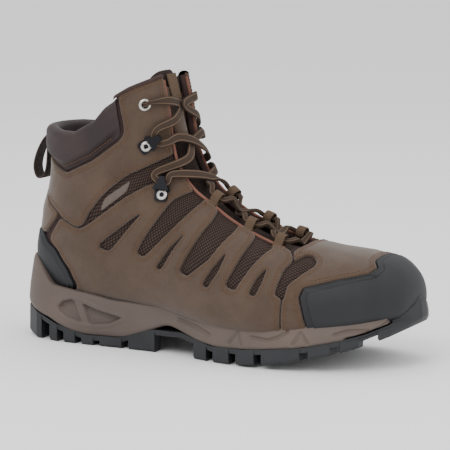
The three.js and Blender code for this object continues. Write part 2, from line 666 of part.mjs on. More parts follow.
// Half of the lace, from the bottom bar up to a top eyelet; m is the side it ends on.
function laceLeg(m) {
  const points = [];
  const sideAt = (k) => ((k + m) % 2 ? 0 : 1);
  const shoulder = (s, at) => skin(s, at ? 1 - .062 : .062, 3);
  [['loop', 1], ['loop', 2], ['hook', 0], ['hook', 1]].forEach(([kind, i], k) => {
    const at = sideAt(k), s = kind === 'hook' ? HOOKS[i][0] : 0;
    points.push(skin(CROSSINGS[k], 0, (k + m) % 2 ? OVER : UNDER));
    if (s) points.push(shoulder(0.55 * s + 0.45 * CROSSINGS[k], at));
    points.push(...guide(kind, i, at));
    if (s) points.push(shoulder(0.55 * s + 0.45 * CROSSINGS[k + 1], at));
  });
  points.push(skin(CROSSINGS[4], 0, m ? OVER : UNDER));
  points.push(skin(14.4, m ? 1 - .07 : .07, 4.2));
  points.push(...[[5, 0, 5.2], [1.3, 0, 5], [0, 0, 2.4], [0, 0, -2], [0, 0, -6]].map((p) =>
    new THREE.Vector3(...p).applyMatrix4(eyelets[m])));
  return points;
}

function laceRoute() {
  return [...laceLeg(0).reverse(), ...guide('loop', 0, 0).reverse(), skin(5.72, 0, -2.6),
    ...guide('loop', 0, 1), ...laceLeg(1)];
}

// A curve whose steps are spread evenly between its points, so that tight turns get enough.
class StepCurve extends THREE.CatmullRomCurve3 {
  getUtoTmapping(u) {
    return u;
  }
}

// Free end of the lace, from the back of a top eyelet down inside the shaft to the footbed.
const LACE_END = [[14.4, .15, -10], [13.8, .166, -8.6], [13, .182, -8.2], [12, .198, -8.2],
  [11, .208, -8.2], [10.2, .228, -8.2], [9.6, .27, -8.6], [9.1, .32, -9.5], [8.4, .35, -10],
  [7.6, .352, -10], [6.8, .353, -10.4], [6.2, .355, -11.2], [5.6, .357, -12]];   // s, t, offset
const AGLET_LENGTH = 18, AGLET_R = 1.9;

function laceEnd(m) {
  const start = [[0, 0, -6 - GAP], [0, 0, -8.4]].map((p) =>
    new THREE.Vector3(...p).applyMatrix4(eyelets[m]));
  const drop = LACE_END.map(([s, t, off]) => skin(s, m ? 1 - t : t, off));
  return tube([...start, ...drop], LACE_R, 48);
}

function aglet(m) {
  const [a, b] = LACE_END.slice(-2).map(([s, t, off]) => skin(s, m ? 1 - t : t, off));
  const along = b.clone().sub(a).normalize();
  const g = new THREE.CylinderGeometry(AGLET_R, AGLET_R, AGLET_LENGTH, 10);
  g.applyQuaternion(new THREE.Quaternion().setFromUnitVectors(new THREE.Vector3(0, 1, 0),
    along));
  const centre = b.addScaledVector(along, GAP + AGLET_LENGTH / 2);
  return g.translate(centre.x, centre.y, centre.z);
}

function tube(points, r, steps, sides = 8) {
  const ring = new THREE.Shape();
  for (let i = 0; i < sides; i++) {
    const a = 2 * Math.PI * i / sides, p = [r * Math.cos(a), r * Math.sin(a)];
    if (i) ring.lineTo(...p); else ring.moveTo(...p);
  }
  ring.closePath();
  const path = new StepCurve(points, false, 'centripetal');
  return new THREE.ExtrudeGeometry(ring, { steps, extrudePath: path, bevelEnabled: false });
}

function piping(m) {
  const points = [[6.25, .058], [7.2, .055], [8.6, .06], [9.6, .075], [11.3, .075], [13, .065],
    [15.6, .055]].map(([s, t]) => skin(s, m ? 1 - t : t, -0.6));
  return tube(points, 1.1, 12);
}

// ---------------------------------------------------------------- pull tab
// Centre line of the hanging loop in side view, from its stitched end and back to it.
const TAB_LOOP = [[-140.2, 143], [-145, 139], [-150, 130], [-152.6, 120], [-150.4, 112.4],
  [-145.4, 112.8], [-142.2, 120], [-141, 133]];

function pullTab() {
  const line = new THREE.CatmullRomCurve3(TAB_LOOP.map(([x, z]) => new THREE.Vector3(x, z, 0)),
    true, 'centripetal');
  const prism = (offset, half) => sidePrism(polygon(Array.from({ length: 20 }, (_, i) => {
    const p = line.getPointAt(i / 20), d = line.getTangentAt(i / 20);
    return [p.x - d.y * offset, p.y + d.x * offset];
  })), -half, half);
  const out = prism(1, 6).volume() > prism(-1, 6).volume() ? 0.7 : -0.7;
  return prism(out, 6).subtract(prism(-out, 8));
}

// ---------------------------------------------------------------- assembly
const boot = new THREE.Group();
function add(name, shape, colour) {
  const [color, roughness, metalness] = COLOURS[colour];
  const geometry = shape.isBufferGeometry ? shape : toGeometry(shape);
  const mesh = new THREE.Mesh(geometry, new THREE.MeshStandardMaterial({ color, roughness,
    metalness }));
  mesh.name = name;
  boot.add(mesh);
}

add('outsole', outsole(), 'rubber');
add('midsole', midsole(), 'midsole');
add('shank', shank(), 'steel');
add('insole_board', insoleBoard(), 'board');
add('footbed', footbed(), 'foam');
add('lining', lining(), 'lining');
add('toe_puff', toePuff(), 'board');
add('heel_counter', heelCounter(), 'board');
add('textile', textile(), 'mesh');
add('toe_cap', toeCap(), 'rubber');
add('heel_cap', heelCap(), 'rubber');
add('vamp', vamp(), 'nubuck');
add('backstay', backstay(), 'nubuck');
add('collar', collar(), 'smooth');
add('tongue', tongue(), 'mesh');
add('tongue_patch', tonguePatch(), 'nubuck');
add('woven_label', wovenLabel(), 'mesh');
add('pull_tab', pullTab(), 'webbing');
['lateral', 'medial'].forEach((name, m) => {
  add(`${name}_quarter`, quarter(m), 'nubuck');
  add(`${name}_ankle_panel`, anklePanel(m), 'nubuck');
  add(`${name}_piping`, piping(m), 'piping');
  add(`${name}_grommet`, grommet(m), 'metal');
  add(`${name}_washer`, washer(m), 'metal');
  add(`${name}_lace_end`, laceEnd(m), 'lace');
  add(`${name}_aglet`, aglet(m), 'metal');
  LOOPS.forEach((_, i) => add(`${name}_loop_${i + 1}`, webbingLoop(i, m), 'webbing'));
  HOOKS.forEach((_, i) => {
    add(`${name}_hook_${i + 1}`, hook(i, m), 'black');
    add(`${name}_hook_rivet_${i + 1}`, hookRivet(i, m), 'metal');
  });
});
add('lace', tube(laceRoute(), LACE_R, laceRoute().length - 1), 'lace');

const box = new THREE.Box3().setFromObject(boot);
boot.children.forEach((mesh) => mesh.geometry.translate(-(box.min.x + box.max.x) / 2,
  -(box.min.y + box.max.y) / 2, -box.min.z));

export default boot;
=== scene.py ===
"""Looks of a right hiking boot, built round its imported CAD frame. Metres, +X toe, +Z up."""

import json
import math

import bmesh
import bpy
import numpy as np
from mathutils import Matrix, Vector
from mathutils.geometry import delaunay_2d_cdt
from mathutils.kdtree import KDTree

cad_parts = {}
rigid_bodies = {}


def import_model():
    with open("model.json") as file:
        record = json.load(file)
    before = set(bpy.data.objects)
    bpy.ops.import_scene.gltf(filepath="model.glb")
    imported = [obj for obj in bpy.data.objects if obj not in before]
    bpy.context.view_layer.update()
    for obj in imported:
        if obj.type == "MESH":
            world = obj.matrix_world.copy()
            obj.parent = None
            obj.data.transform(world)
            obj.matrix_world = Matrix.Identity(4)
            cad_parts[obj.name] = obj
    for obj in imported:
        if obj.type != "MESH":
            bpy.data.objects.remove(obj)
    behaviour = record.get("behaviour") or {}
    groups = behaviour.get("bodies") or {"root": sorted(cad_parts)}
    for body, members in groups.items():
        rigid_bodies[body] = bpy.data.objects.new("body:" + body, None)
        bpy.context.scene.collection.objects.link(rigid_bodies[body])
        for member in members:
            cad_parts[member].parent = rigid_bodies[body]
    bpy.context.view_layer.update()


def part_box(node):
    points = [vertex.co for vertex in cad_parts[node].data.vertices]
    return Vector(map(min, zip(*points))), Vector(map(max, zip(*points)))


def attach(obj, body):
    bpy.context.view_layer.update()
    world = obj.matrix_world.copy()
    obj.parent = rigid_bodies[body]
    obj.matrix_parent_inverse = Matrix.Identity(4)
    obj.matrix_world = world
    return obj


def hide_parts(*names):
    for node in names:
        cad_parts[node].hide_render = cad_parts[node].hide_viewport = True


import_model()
MM = 0.001

# ------------------------------------------------------------------ the form of the upper
# One row per station from the toe tip to the top of the shaft: front x, z; back x, z;
# centre y; half widths lateral, medial; height of the widest line; roundness above, below.
STATIONS = np.array([
    [140, 45, 140, 39.5, 8, 0, 0, .45, .95, .80],
    [138.6, 53, 138.6, 36.5, 8, 15, 15, .40, .92, .78],
    [133.5, 62, 133.5, 34, 8, 27, 26, .34, .90, .72],
    [123.5, 70, 123.5, 31, 7, 38, 35, .30, .90, .66],
    [107, 73, 107, 26.5, 5, 46, 43, .27, .92, .62],
    [82, 76, 82, 22.5, 1, 51, 49, .26, .94, .60],
    [52, 83, 52, 19.5, -3, 52, 49, .27, .98, .60],
    [27, 93, 22, 19, -3, 49, 44, .27, 1.02, .60],
    [8, 103, -8, 23, -2, 45, 38, .29, 1.04, .62],
    [-6, 115, -42, 26, 0, 40, 35, .33, 1.04, .66],
    [-14, 127, -80, 26, 0, 38, 35, .37, 1.02, .72],
    [-19, 138, -119, 27, 0, 37, 35, .42, .98, .78],
    [-24, 149, -143, 50, 0, 36, 35, .47, .95, .84],
    [-28, 160, -141, 84, 0, 36, 36, .50, .93, .90],
    [-31, 171, -134, 112, 0, 37, 37, .52, .92, .92],
    [-34, 182, -133, 134, 0, 38, 38, .52, .92, .92],
    [-37, 193, -133, 153, 0, 38, 38, .52, .92, .92],
    [-40, 206, -133, 172, 0, 38, 38, .52, .92, .92]], float)
TOP = len(STATIONS) - 1
GHOST = STATIONS[1].copy()
GHOST[[5, 6]] *= -1
GHOST[[1, 3]] = 2 * STATIONS[0][[1, 3]] - STATIONS[1][[1, 3]]
ROWS = np.vstack([GHOST, STATIONS, 2 * STATIONS[-1] - STATIONS[-2]])


def form(s, t):
    """Points of the form in millimetres: s along the stations, t once round a section."""
    s, t = np.broadcast_arrays(np.asarray(s, float), np.asarray(t, float))
    s = np.clip(s, 0, TOP - 1e-9)
    i = np.floor(s).astype(int)
    f = (s - i)[..., None]
    a, b, c, d = (ROWS[i + k] for k in range(4))
    row = 0.5 * (2 * b + (c - a) * f + (2 * a - 5 * b + 4 * c - d) * f ** 2
                 + (3 * b - a - 3 * c + d) * f ** 3)
    xf, zf, xb, zb, yc, wl, wm, k, eu, el = np.moveaxis(row, -1, 0)
    co, si = np.cos(2 * np.pi * t), np.sin(2 * np.pi * t)
    e = np.where(co >= 0, eu, el)
    v, u = np.sign(co) * np.abs(co) ** e, np.sign(si) * np.abs(si) ** e
    w, h = np.where(si >= 0, wl, wm), np.where(co >= 0, 1 - k, k)
    dx, dz = xf - xb, zf - zb
    return np.stack([xb + k * dx + v * h * dx, yc - u * w, zb + k * dz + v * h * dz], -1)


def slopes(s, t):
    """Derivatives of the form along s and t, and its outward unit normal."""
    h = 2e-3
    s = np.maximum(s, 0.02)
    ps = (form(np.minimum(s + h, TOP), t) - form(s - h, t)) / (2 * h)
    pt = (form(s, t + h) - form(s, t - h)) / (2 * h)
    n = np.cross(ps, pt)
    return ps, pt, n / np.maximum(np.linalg.norm(n, axis=-1, keepdims=True), 1e-9)


def design(s, t, off):
    """Form offset along its normal, in the design's millimetres."""
    return form(s, t) + slopes(s, t)[2] * np.asarray(off, float)[..., None]


SIGN = 1.0 if slopes(np.array(8.0), np.array(.25))[2][1] < 0 else -1.0
if SIGN < 0:
    _slopes = slopes

    def slopes(s, t):
        ps, pt, n = _slopes(s, t)
        return ps, pt, -n

grommets = [sum(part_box(f"{side}_grommet"), Vector()) / 2 for side in ("lateral", "medial")]
EYELET = (14.7, .134)
SHIFT = (np.array(grommets[0] + grommets[1]) / 2 / MM
         - (design(np.array(EYELET[0]), np.array([EYELET[1], 1 - EYELET[1]]), -0.9)).mean(0))


def flat_uv(s, t):
    """Roughly millimetres on the form, for the weaves and grains."""
    return np.stack([s * 16, t * 250], -1)


def world(points):
    return (np.asarray(points, float) + SHIFT) * MM


# ------------------------------------------------------------------ mesh helpers
def make(name, verts, faces, material, body="boot", uv=None, smooth=True):
    mesh = bpy.data.meshes.new(name)
    mesh.from_pydata([tuple(v) for v in verts], [], [tuple(int(i) for i in f) for f in faces])
    mesh.validate()
    if uv is not None:
        layer = mesh.uv_layers.new(name="mm")
        index = np.zeros(len(mesh.loops), int)
        mesh.loops.foreach_get("vertex_index", index)
        layer.data.foreach_set("uv", np.asarray(uv, float)[index].astype(np.float32).ravel())
    mesh.polygons.foreach_set("use_smooth", [smooth] * len(mesh.polygons))
    mesh.materials.append(material)
    obj = bpy.data.objects.new(name, mesh)
    bpy.context.scene.collection.objects.link(obj)
    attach(obj, body)
    return obj


def grid_faces(rows, cols, closed=False, start=0):
    faces = []
    for i in range(rows - 1):
        for j in range(cols if closed else cols - 1):
            k = (j + 1) % cols
            faces.append((start + i * cols + j, start + i * cols + k,
                          start + (i + 1) * cols + k, start + (i + 1) * cols + j))
    return faces


def sheet_from(name, points, material, flip=False, closed=False, body="boot", uv=None):
    """Smooth surface from a rows x columns grid of points."""
    rows, cols = points.shape[:2]
    faces = grid_faces(rows, cols, closed)
    if flip:
        faces = [f[::-1] for f in faces]
    uv = None if uv is None else uv.reshape(-1, 2)
    return make(name, points.reshape(-1, 3), faces, material, body, uv)


def smooth_step(x):
    x = np.clip(x, 0, 1)
    return x * x * (3 - 2 * x)


def rounded(corners, r, step=1.1):
    """Dense closed outline in (s, t) from a few corners, each rounded by about r mm."""
    scale = np.array([16.0, 250.0])
    pts = np.array(corners, float) * scale
    pts = pts[np.linalg.norm(pts - np.roll(pts, 1, 0), axis=1) > .05]
    out = []
    for i in range(len(pts)):
        p, a, b = pts[i], pts[i - 1] - pts[i], pts[(i + 1) % len(pts)] - pts[i]
        la, lb = np.linalg.norm(a), np.linalg.norm(b)
        q0, q1 = p + a / la * min(r, la * .47), p + b / lb * min(r, lb * .47)
        f = np.linspace(0, 1, 7)[:, None]
        out.append((1 - f) ** 2 * q0 + 2 * f * (1 - f) * p + f ** 2 * q1)
    path = np.vstack(out + [out[0][:1]])
    return resample(path, step)[:-1] / scale


def resample(path, step):
    d = np.r_[0, np.cumsum(np.linalg.norm(np.diff(path, axis=0), axis=1))]
    keep = np.r_[True, np.diff(d) > 1e-6]
    n = max(int(round(d[-1] / step)), 3)
    u = np.linspace(0, d[-1], n + 1)
    return np.stack([np.interp(u, d[keep], path[keep, k]) for k in range(path.shape[1])], -1)


def inward(loop, closed=True):
    """Unit steps in (s, t) per millimetre, to the left of the walk and along the skin."""
    if closed:
        d = np.roll(loop, -1, 0) - np.roll(loop, 1, 0)
    else:
        d = np.gradient(loop, axis=0)
    ps, pt, n = slopes(loop[:, 0], loop[:, 1])
    tangent = ps * d[:, :1] + pt * d[:, 1:]
    tangent /= np.maximum(np.linalg.norm(tangent, axis=1, keepdims=True), 1e-9)
    side = np.cross(n, tangent)
    a, b, c = (ps * ps).sum(1), (ps * pt).sum(1), (pt * pt).sum(1)
    x, y = (ps * side).sum(1), (pt * side).sum(1)
    det = a * c - b * b
    return np.stack([(c * x - b * y) / det, (a * y - b * x) / det], -1)


def area(loop):
    x, y = loop[:, 0], loop[:, 1]
    return 0.5 * (x * np.roll(y, -1) - np.roll(x, -1) * y).sum()


def offset_loop(loop, dist, hole=False):
    """The loop moved dist millimetres into the panel."""
    turn = 1.0 if np.sign(area(loop)) == np.sign(TEST_TURN) else -1.0
    if hole:
        turn = -turn
    return loop + inward(loop) * dist * turn


_square = np.array([[8., .2], [8.5, .2], [8.5, .25], [8., .25]])
TEST_TURN = 1.0
_moved = _square + inward(_square) * 1.0
if abs(area(_moved)) > abs(area(_square)):
    TEST_TURN = -1.0
TEST_TURN *= np.sign(area(_square))


def inside(points, loop):
    x, y = points[:, 0], points[:, 1]
    hit = np.zeros(len(points), bool)
    j = len(loop) - 1
    for i in range(len(loop)):
        (x0, y0), (x1, y1) = loop[j], loop[i]
        if y0 != y1:
            cross = ((y0 > y) != (y1 > y)) & (x < (x1 - x0) * (y - y0) / (y1 - y0) + x0)
            hit ^= cross
        j = i
    return hit


def near_tree(points):
    tree = KDTree(len(points))
    for i, p in enumerate(points):
        tree.insert(p, i)
    tree.balance()
    return tree


def panel(name, outline, holes, profile, material, height=None, spacing=1.9):
    """Panel of the upper: rounded edge rings from profile (inset, offset), then a fine field.
    height(distance to the edge in mm, s, t) gives the field's offset."""
    loops = [(outline, False)] + [(h, True) for h in holes]
    verts, faces, st = [], [], []
    rings = []
    for loop, hole in loops:
        last = None
        for dist, off in profile:
            ring = offset_loop(loop, dist, hole) if dist else loop
            start = len(st)
            verts.extend(design(ring[:, 0], ring[:, 1], np.full(len(ring), off)))
            st.extend(ring)
            if last is not None:
                n = len(ring)
                faces += [(last + j, last + (j + 1) % n, start + (j + 1) % n, start + j)
                          for j in range(n)]
            last = start
        rings.append((last, len(loop)))
    edge_points = np.vstack([form(lp[:, 0], lp[:, 1]) for lp, _ in loops])
    tree = near_tree(edge_points)
    ring_st = np.vstack([np.array(st[a:a + n]) for a, n in rings])
    lo, hi = ring_st.min(0), ring_st.max(0)
    gs = np.arange(lo[0], hi[0], spacing / 16.0)
    gt = np.arange(lo[1], hi[1], spacing / 250.0)
    cells = np.stack(np.meshgrid(gs, gt, indexing="ij"), -1)
    cells[1::2, :, 1] += spacing / 500.0
    cells = cells.reshape(-1, 2)
    ok = inside(cells, np.array(st[rings[0][0]:rings[0][0] + rings[0][1]]))
    for a, n in rings[1:]:
        ok &= ~inside(cells, np.array(st[a:a + n]))
    cells = cells[ok]
    where = form(cells[:, 0], cells[:, 1])
    dist = np.array([tree.find(p)[2] for p in where]) if len(where) else np.zeros(0)
    ok = dist > profile[-1][0] + spacing * .45
    cells, dist = cells[ok], dist[ok]
    edges, k = [], 0
    for a, n in rings:
        edges += [(k + j, k + (j + 1) % n) for j in range(n)]
        k += n
    scale = np.array([16.0, 250.0])
    flat = np.vstack([ring_st, cells]) * scale
    out, _, tris, origin, _, _ = delaunay_2d_cdt([Vector(p) for p in flat], edges, [], 0, 1e-5)
    out = np.array([tuple(p) for p in out]) / scale
    tris = np.array([tuple(t) for t in tris])
    mid = out[tris].mean(1)
    ok = inside(mid, ring_st[:rings[0][1]])
    k = rings[0][1]
    for a, n in rings[1:]:
        ok &= ~inside(mid, ring_st[k:k + n])
        k += n
    tris = tris[ok]
    ids = np.concatenate([np.arange(a, a + n) for a, n in rings])
    new_ids, extra = [], []
    for j, src in enumerate(origin):
        if src and src[0] < len(ids):
            new_ids.append(ids[src[0]])
        else:
            new_ids.append(len(st) + len(extra))
            extra.append(out[j])
    if extra:
        extra = np.array(extra)
        d = np.array([tree.find(p)[2] for p in form(extra[:, 0], extra[:, 1])])
        top = profile[-1][1]
        off = np.full(len(extra), top) if height is None else height(d, extra[:, 0], extra[:, 1])
        verts.extend(design(extra[:, 0], extra[:, 1], off))
        st.extend(extra)
    new_ids = np.array(new_ids)
    faces += [tuple(f) for f in new_ids[tris]]
    verts = world(np.array(verts))
    uv = np.array(st) * scale
    return fix_normals(make(name, verts, faces, material, uv=uv))


def fix_normals(obj):
    bm = bmesh.new()
    bm.from_mesh(obj.data)
    bmesh.ops.recalc_face_normals(bm, faces=bm.faces)
    bm.to_mesh(obj.data)
    bm.free()
    obj.data.polygons.foreach_set("use_smooth", [True] * len(obj.data.polygons))
    return obj


def capsule(length, radius, sides=6):
    prof = [(-.5, 0), (-.47, .55), (-.36, .95), (.36, .95), (.47, .55), (.5, 0)]
    verts = []
    for x, r in prof:
        for k in range(sides):
            a = 2 * math.pi * k / sides
            verts.append((x * length, r * radius * math.cos(a), r * radius * math.sin(a)))
    return np.array(verts), grid_faces(len(prof), sides, True)


class Stitches:
    """Collects thread stitches, laid as small capsules along lines on the skin."""

    def __init__(self):
        self.verts, self.faces, self.count = [], [], 0

    def row(self, line, off, closed=True, pitch=2.5, length=1.65, radius=.27):
        pts = design(line[:, 0], line[:, 1], np.broadcast_to(off, len(line)).astype(float))
        nrm = slopes(line[:, 0], line[:, 1])[2]
        if closed:
            pts, nrm = np.vstack([pts, pts[:1]]), np.vstack([nrm, nrm[:1]])
        d = np.r_[0, np.cumsum(np.linalg.norm(np.diff(pts, axis=0), axis=1))]
        n = max(int(d[-1] / pitch), 1)
        at = (np.arange(n) + .5) * d[-1] / n
        base, faces = capsule(length, radius)
        for u in at:
            pick = lambda q, arr: np.array([np.interp(q, d, arr[:, k]) for k in range(3)])
            a, b = pick(u - length / 2, pts), pick(u + length / 2, pts)
            x = b - a
            if np.linalg.norm(x) < .3:
                continue
            x /= np.linalg.norm(x)
            z = pick(u, nrm)
            y = np.cross(z, x)
            y /= np.linalg.norm(y)
            z = np.cross(x, y)
            m = np.stack([x, y, z], 1)
            self.verts.append(base @ m.T + pick(u, pts))
            self.faces += [tuple(i + self.count for i in f) for f in faces]
            self.count += len(base)

    def build(self, name, material):
        return make(name, world(np.vstack(self.verts)), self.faces, material)


def catmull(points, per=8, closed=False):
    p = np.asarray(points, float)
    if closed:
        q = np.vstack([p[-1], p, p[0], p[1]])
    else:
        q = np.vstack([2 * p[0] - p[1], p, 2 * p[-1] - p[-2]])
    out = []
    for i in range(1, len(q) - 2):
        a, b, c, d = q[i - 1:i + 3]
        for f in np.arange(per) / per:
            out.append(.5 * (2 * b + (c - a) * f + (2 * a - 5 * b + 4 * c - d) * f * f
                             + (3 * b - a - 3 * c + d) * f ** 3))
    if not closed:
        out.append(p[-1])
    return np.array(out)


def ribbon(name, path, normals, widths, thick, material, body="boot", closed=False, sides=14,
           power=.35):
    """Flat band along a path in design mm: rounded rectangular section, its own frames."""
    p = np.asarray(path, float)
    tan = np.gradient(p, axis=0)
    if closed:
        tan = np.roll(p, -1, 0) - np.roll(p, 1, 0)
    tan /= np.linalg.norm(tan, axis=1, keepdims=True)
    w = np.cross(tan, normals)
    w /= np.linalg.norm(w, axis=1, keepdims=True)
    n = np.cross(w, tan)
    a = 2 * np.pi * (np.arange(sides) + .5) / sides
    cu = np.sign(np.cos(a)) * np.abs(np.cos(a)) ** power
    cv = np.sign(np.sin(a)) * np.abs(np.sin(a)) ** power
    widths = np.broadcast_to(widths, len(p))
    thick = np.broadcast_to(thick, len(p))
    pts = (p[:, None] + w[:, None] * (cu * .5)[None, :, None] * widths[:, None, None]
           + n[:, None] * (cv * .5)[None, :, None] * thick[:, None, None])
    along = np.r_[0, np.cumsum(np.linalg.norm(np.diff(p, axis=0), axis=1))]
    uv = np.stack([np.broadcast_to(cu * .5, (len(p), sides)),
                   np.broadcast_to(along[:, None], (len(p), sides))], -1)
    faces = grid_faces(len(p), sides, True)
    if closed:
        k = (len(p) - 1) * sides
        faces += [(k + j, k + (j + 1) % sides, (j + 1) % sides, j) for j in range(sides)]
    else:
        faces += [tuple(range(sides)), tuple(range(len(p) * sides - 1, (len(p) - 1) * sides - 1,
                                                   -1))]
    return fix_normals(make(name, world(pts.reshape(-1, 3)), faces, material, body,
                            uv.reshape(-1, 2)))


# ------------------------------------------------------------------ materials
class Look:
    """Small helper that builds one procedural material."""

    def __init__(self, name, rough=.8, metal=0., spec=.4):
        self.mat = bpy.data.materials.new(name)
        self.mat.use_nodes = True
        self.tree = self.mat.node_tree
        self.shader = self.tree.nodes["Principled BSDF"]
        self.shader.inputs["Roughness"].default_value = rough
        self.shader.inputs["Metallic"].default_value = metal
        self.shader.inputs["Specular IOR Level"].default_value = spec
        self.height = None

    def node(self, kind, **values):
        n = self.tree.nodes.new(kind)
        for key, v in values.items():
            if key.startswith("in_"):
                n.inputs[key[3:].replace("_", " ")].default_value = v
            else:
                setattr(n, key, v)
        return n

    def link(self, a, b):
        self.tree.links.new(a, b)

    def coords(self, uv=False, scale=(1, 1, 1), rotate=0.):
        tex = self.node("ShaderNodeTexCoord")
        m = self.node("ShaderNodeMapping")
        m.inputs["Scale"].default_value = scale
        m.inputs["Rotation"].default_value = (0, 0, rotate)
        self.link(tex.outputs["UV" if uv else "Object"], m.inputs["Vector"])
        return m.outputs["Vector"]

    def noise(self, scale, detail=3., rough=.5, vector=None):
        n = self.node("ShaderNodeTexNoise", in_Scale=scale, in_Detail=detail,
                      in_Roughness=rough)
        self.link(vector or self.coords(), n.inputs["Vector"])
        return n.outputs["Fac"]

    def cells(self, scale, vector=None, feature="F1"):
        n = self.node("ShaderNodeTexVoronoi", in_Scale=scale, feature=feature)
        self.link(vector or self.coords(), n.inputs["Vector"])
        return n.outputs["Distance"]

    def wave(self, scale, direction="X", vector=None, distortion=0.):
        n = self.node("ShaderNodeTexWave", in_Scale=scale, in_Distortion=distortion,
                      bands_direction=direction)
        self.link(vector or self.coords(True), n.inputs["Vector"])
        return n.outputs["Fac"]

    def math(self, op, a, b=0.5, clamp=False):
        n = self.node("ShaderNodeMath", operation=op, use_clamp=clamp)
        for i, v in enumerate((a, b)):
            if isinstance(v, (int, float)):
                n.inputs[i].default_value = v
            else:
                self.link(v, n.inputs[i])
        return n.outputs[0]

    def ramp(self, fac, stops):
        n = self.node("ShaderNodeValToRGB")
        while len(n.color_ramp.elements) < len(stops):
            n.color_ramp.elements.new(.5)
        for e, (pos, col) in zip(n.color_ramp.elements, stops):
            e.position = pos
            e.color = (*col, 1)
        self.link(fac, n.inputs["Fac"])
        return n.outputs["Color"]

    def mix(self, fac, a, b):
        n = self.node("ShaderNodeMix", data_type="RGBA")
        if isinstance(fac, float):
            n.inputs[0].default_value = fac
        else:
            self.link(fac, n.inputs[0])
        for socket, v in ((n.inputs[6], a), (n.inputs[7], b)):
            if isinstance(v, tuple):
                socket.default_value = (*v, 1)
            else:
                self.link(v, socket)
        return n.outputs[2]

    def color(self, value):
        if isinstance(value, tuple):
            self.shader.inputs["Base Color"].default_value = (*value, 1)
        else:
            self.link(value, self.shader.inputs["Base Color"])
        return self

    def bump(self, height, distance, strength=1.):
        n = self.node("ShaderNodeBump", in_Strength=strength, in_Distance=distance)
        self.link(height, n.inputs["Height"])
        if self.height:
            self.link(self.height, n.inputs["Normal"])
        self.height = n.outputs["Normal"]
        self.link(self.height, self.shader.inputs["Normal"])
        return self


def srgb(r, g, b):
    return tuple(((c / 255) / 12.92 if c / 255 <= .04045 else ((c / 255 + .055) / 1.055) ** 2.4)
                 for c in (r, g, b))


def nubuck_look():
    k = Look("nubuck", .93, spec=.25)
    big, fine = k.noise(38, 4, .6), k.noise(420, 3, .65)
    tone = k.ramp(big, [(.3, srgb(60, 47, 38)), (.7, srgb(76, 61, 50))])
    # the fine noise lifts the colour up to 38% toward a lighter tone on its raised flecks: partly
    # nap grain, partly painted highlight
    k.color(k.mix(k.math("MULTIPLY", fine, .38), tone, srgb(92, 75, 62)))
    k.bump(fine, .00012, .7).bump(k.cells(900), .00006, .5).bump(big, .0005, .35)
    k.shader.inputs["Sheen Weight"].default_value = .25
    k.shader.inputs["Sheen Roughness"].default_value = .5
    return k.mat


def smooth_leather_look():
    k = Look("collar_leather", .62, spec=.35)
    grain, big = k.cells(520), k.noise(30, 3)
    k.color(k.ramp(big, [(.3, srgb(38, 28, 28)), (.75, srgb(51, 39, 38))]))
    k.bump(grain, .00012, .6).bump(big, .001, .3)
    return k.mat


def mesh_look(name, dark, light, scale=1.05):
    """Open woven mesh: rows of small knots with dark holes between them, their dark partly the
    backing seen through and partly painted shade.
    """
    k = Look(name, .9, spec=.2)
    v = k.coords(True, (scale, scale, 1), .6)
    a, b = k.wave(1.0, "X", v, .4), k.wave(1.0, "Y", v, .4)
    knots = k.math("MULTIPLY", a, b)
    v2 = k.coords(True, (scale * 3, scale * 3, 1), .2)
    thread = k.wave(1.3, "X", v2, .8)
    # painted shade: colour runs from the light tone on each knot's top to the dark tone in the
    # hollows, keyed to knots, which also drive the bump
    tone = k.mix(k.math("MULTIPLY", knots, 1.5, True), dark, light)
    k.color(k.mix(k.math("MULTIPLY", k.noise(60), .5), tone, dark))
    k.bump(knots, .0005, .9).bump(thread, .00012, .5)
    return k.mat


def rubber_look(name, tone, gloss=.55, pebble=1100):
    k = Look(name, gloss, spec=.4)
    n = k.noise(25, 4)
    lighter = tuple(c * 1.45 + .006 for c in tone)
    k.color(k.ramp(n, [(.3, tone), (.75, lighter)]))
    k.bump(k.cells(pebble), .00007, .5).bump(k.noise(700, 2), .00005, .5)
    return k.mat


def foam_look():
    k = Look("midsole_foam", .6, spec=.35)
    n = k.noise(18, 3)
    k.color(k.ramp(n, [(.3, srgb(78, 67, 62)), (.75, srgb(92, 80, 73))]))
    k.bump(k.noise(1300, 2), .00004, .5).bump(n, .0006, .2)
    return k.mat


def webbing_look(name, tone, rib=2.6, edge=None):
    """Flat woven band: u runs across it from -.5 to .5, v along it in millimetres."""
    k = Look(name, .85, spec=.25)
    v = k.coords(True)
    sep = k.node("ShaderNodeSeparateXYZ")
    k.link(v, sep.inputs["Vector"])
    u, w = sep.outputs["X"], sep.outputs["Y"]
    slant = k.math("ADD", k.math("MULTIPLY", k.math("ABSOLUTE", u), 3.0), w)
    rib_wave = k.math("SINE", k.math("MULTIPLY", slant, rib * 2.4))
    across = k.math("SINE", k.math("MULTIPLY", u, 44.0))
    weave = k.math("MULTIPLY", k.math("ADD", rib_wave, across), .25)
    lift = k.math("ADD", weave, .5)
    # painted shade: the weave's low threads get a darker copy of the yarn tone, keyed to lift, the
    # height that also drives the bump
    dark = tuple(c * .55 for c in tone)
    body = k.mix(k.math("MULTIPLY", lift, 1.0, True), dark, tone)
    if edge:
        far = k.math("ABSOLUTE", u)
        band = k.math("MULTIPLY", k.math("GREATER_THAN", far, .30),
                      k.math("LESS_THAN", far, .40))
        body = k.mix(band, body, edge)
    k.color(body)
    k.bump(lift, .00035, .8)
    return k.mat


def cloth_look(name, a, b, scale=900):
    k = Look(name, .95, spec=.15)
    k.color(k.mix(k.noise(140, 4), a, b))
    k.bump(k.cells(scale), .0003, .7).bump(k.noise(300), .0002, .5)
    return k.mat


def metal_look(name, tone, rough):
    k = Look(name, rough, 1.0)
    k.color(tone)
    k.bump(k.noise(260), .00008, .4)
    return k.mat


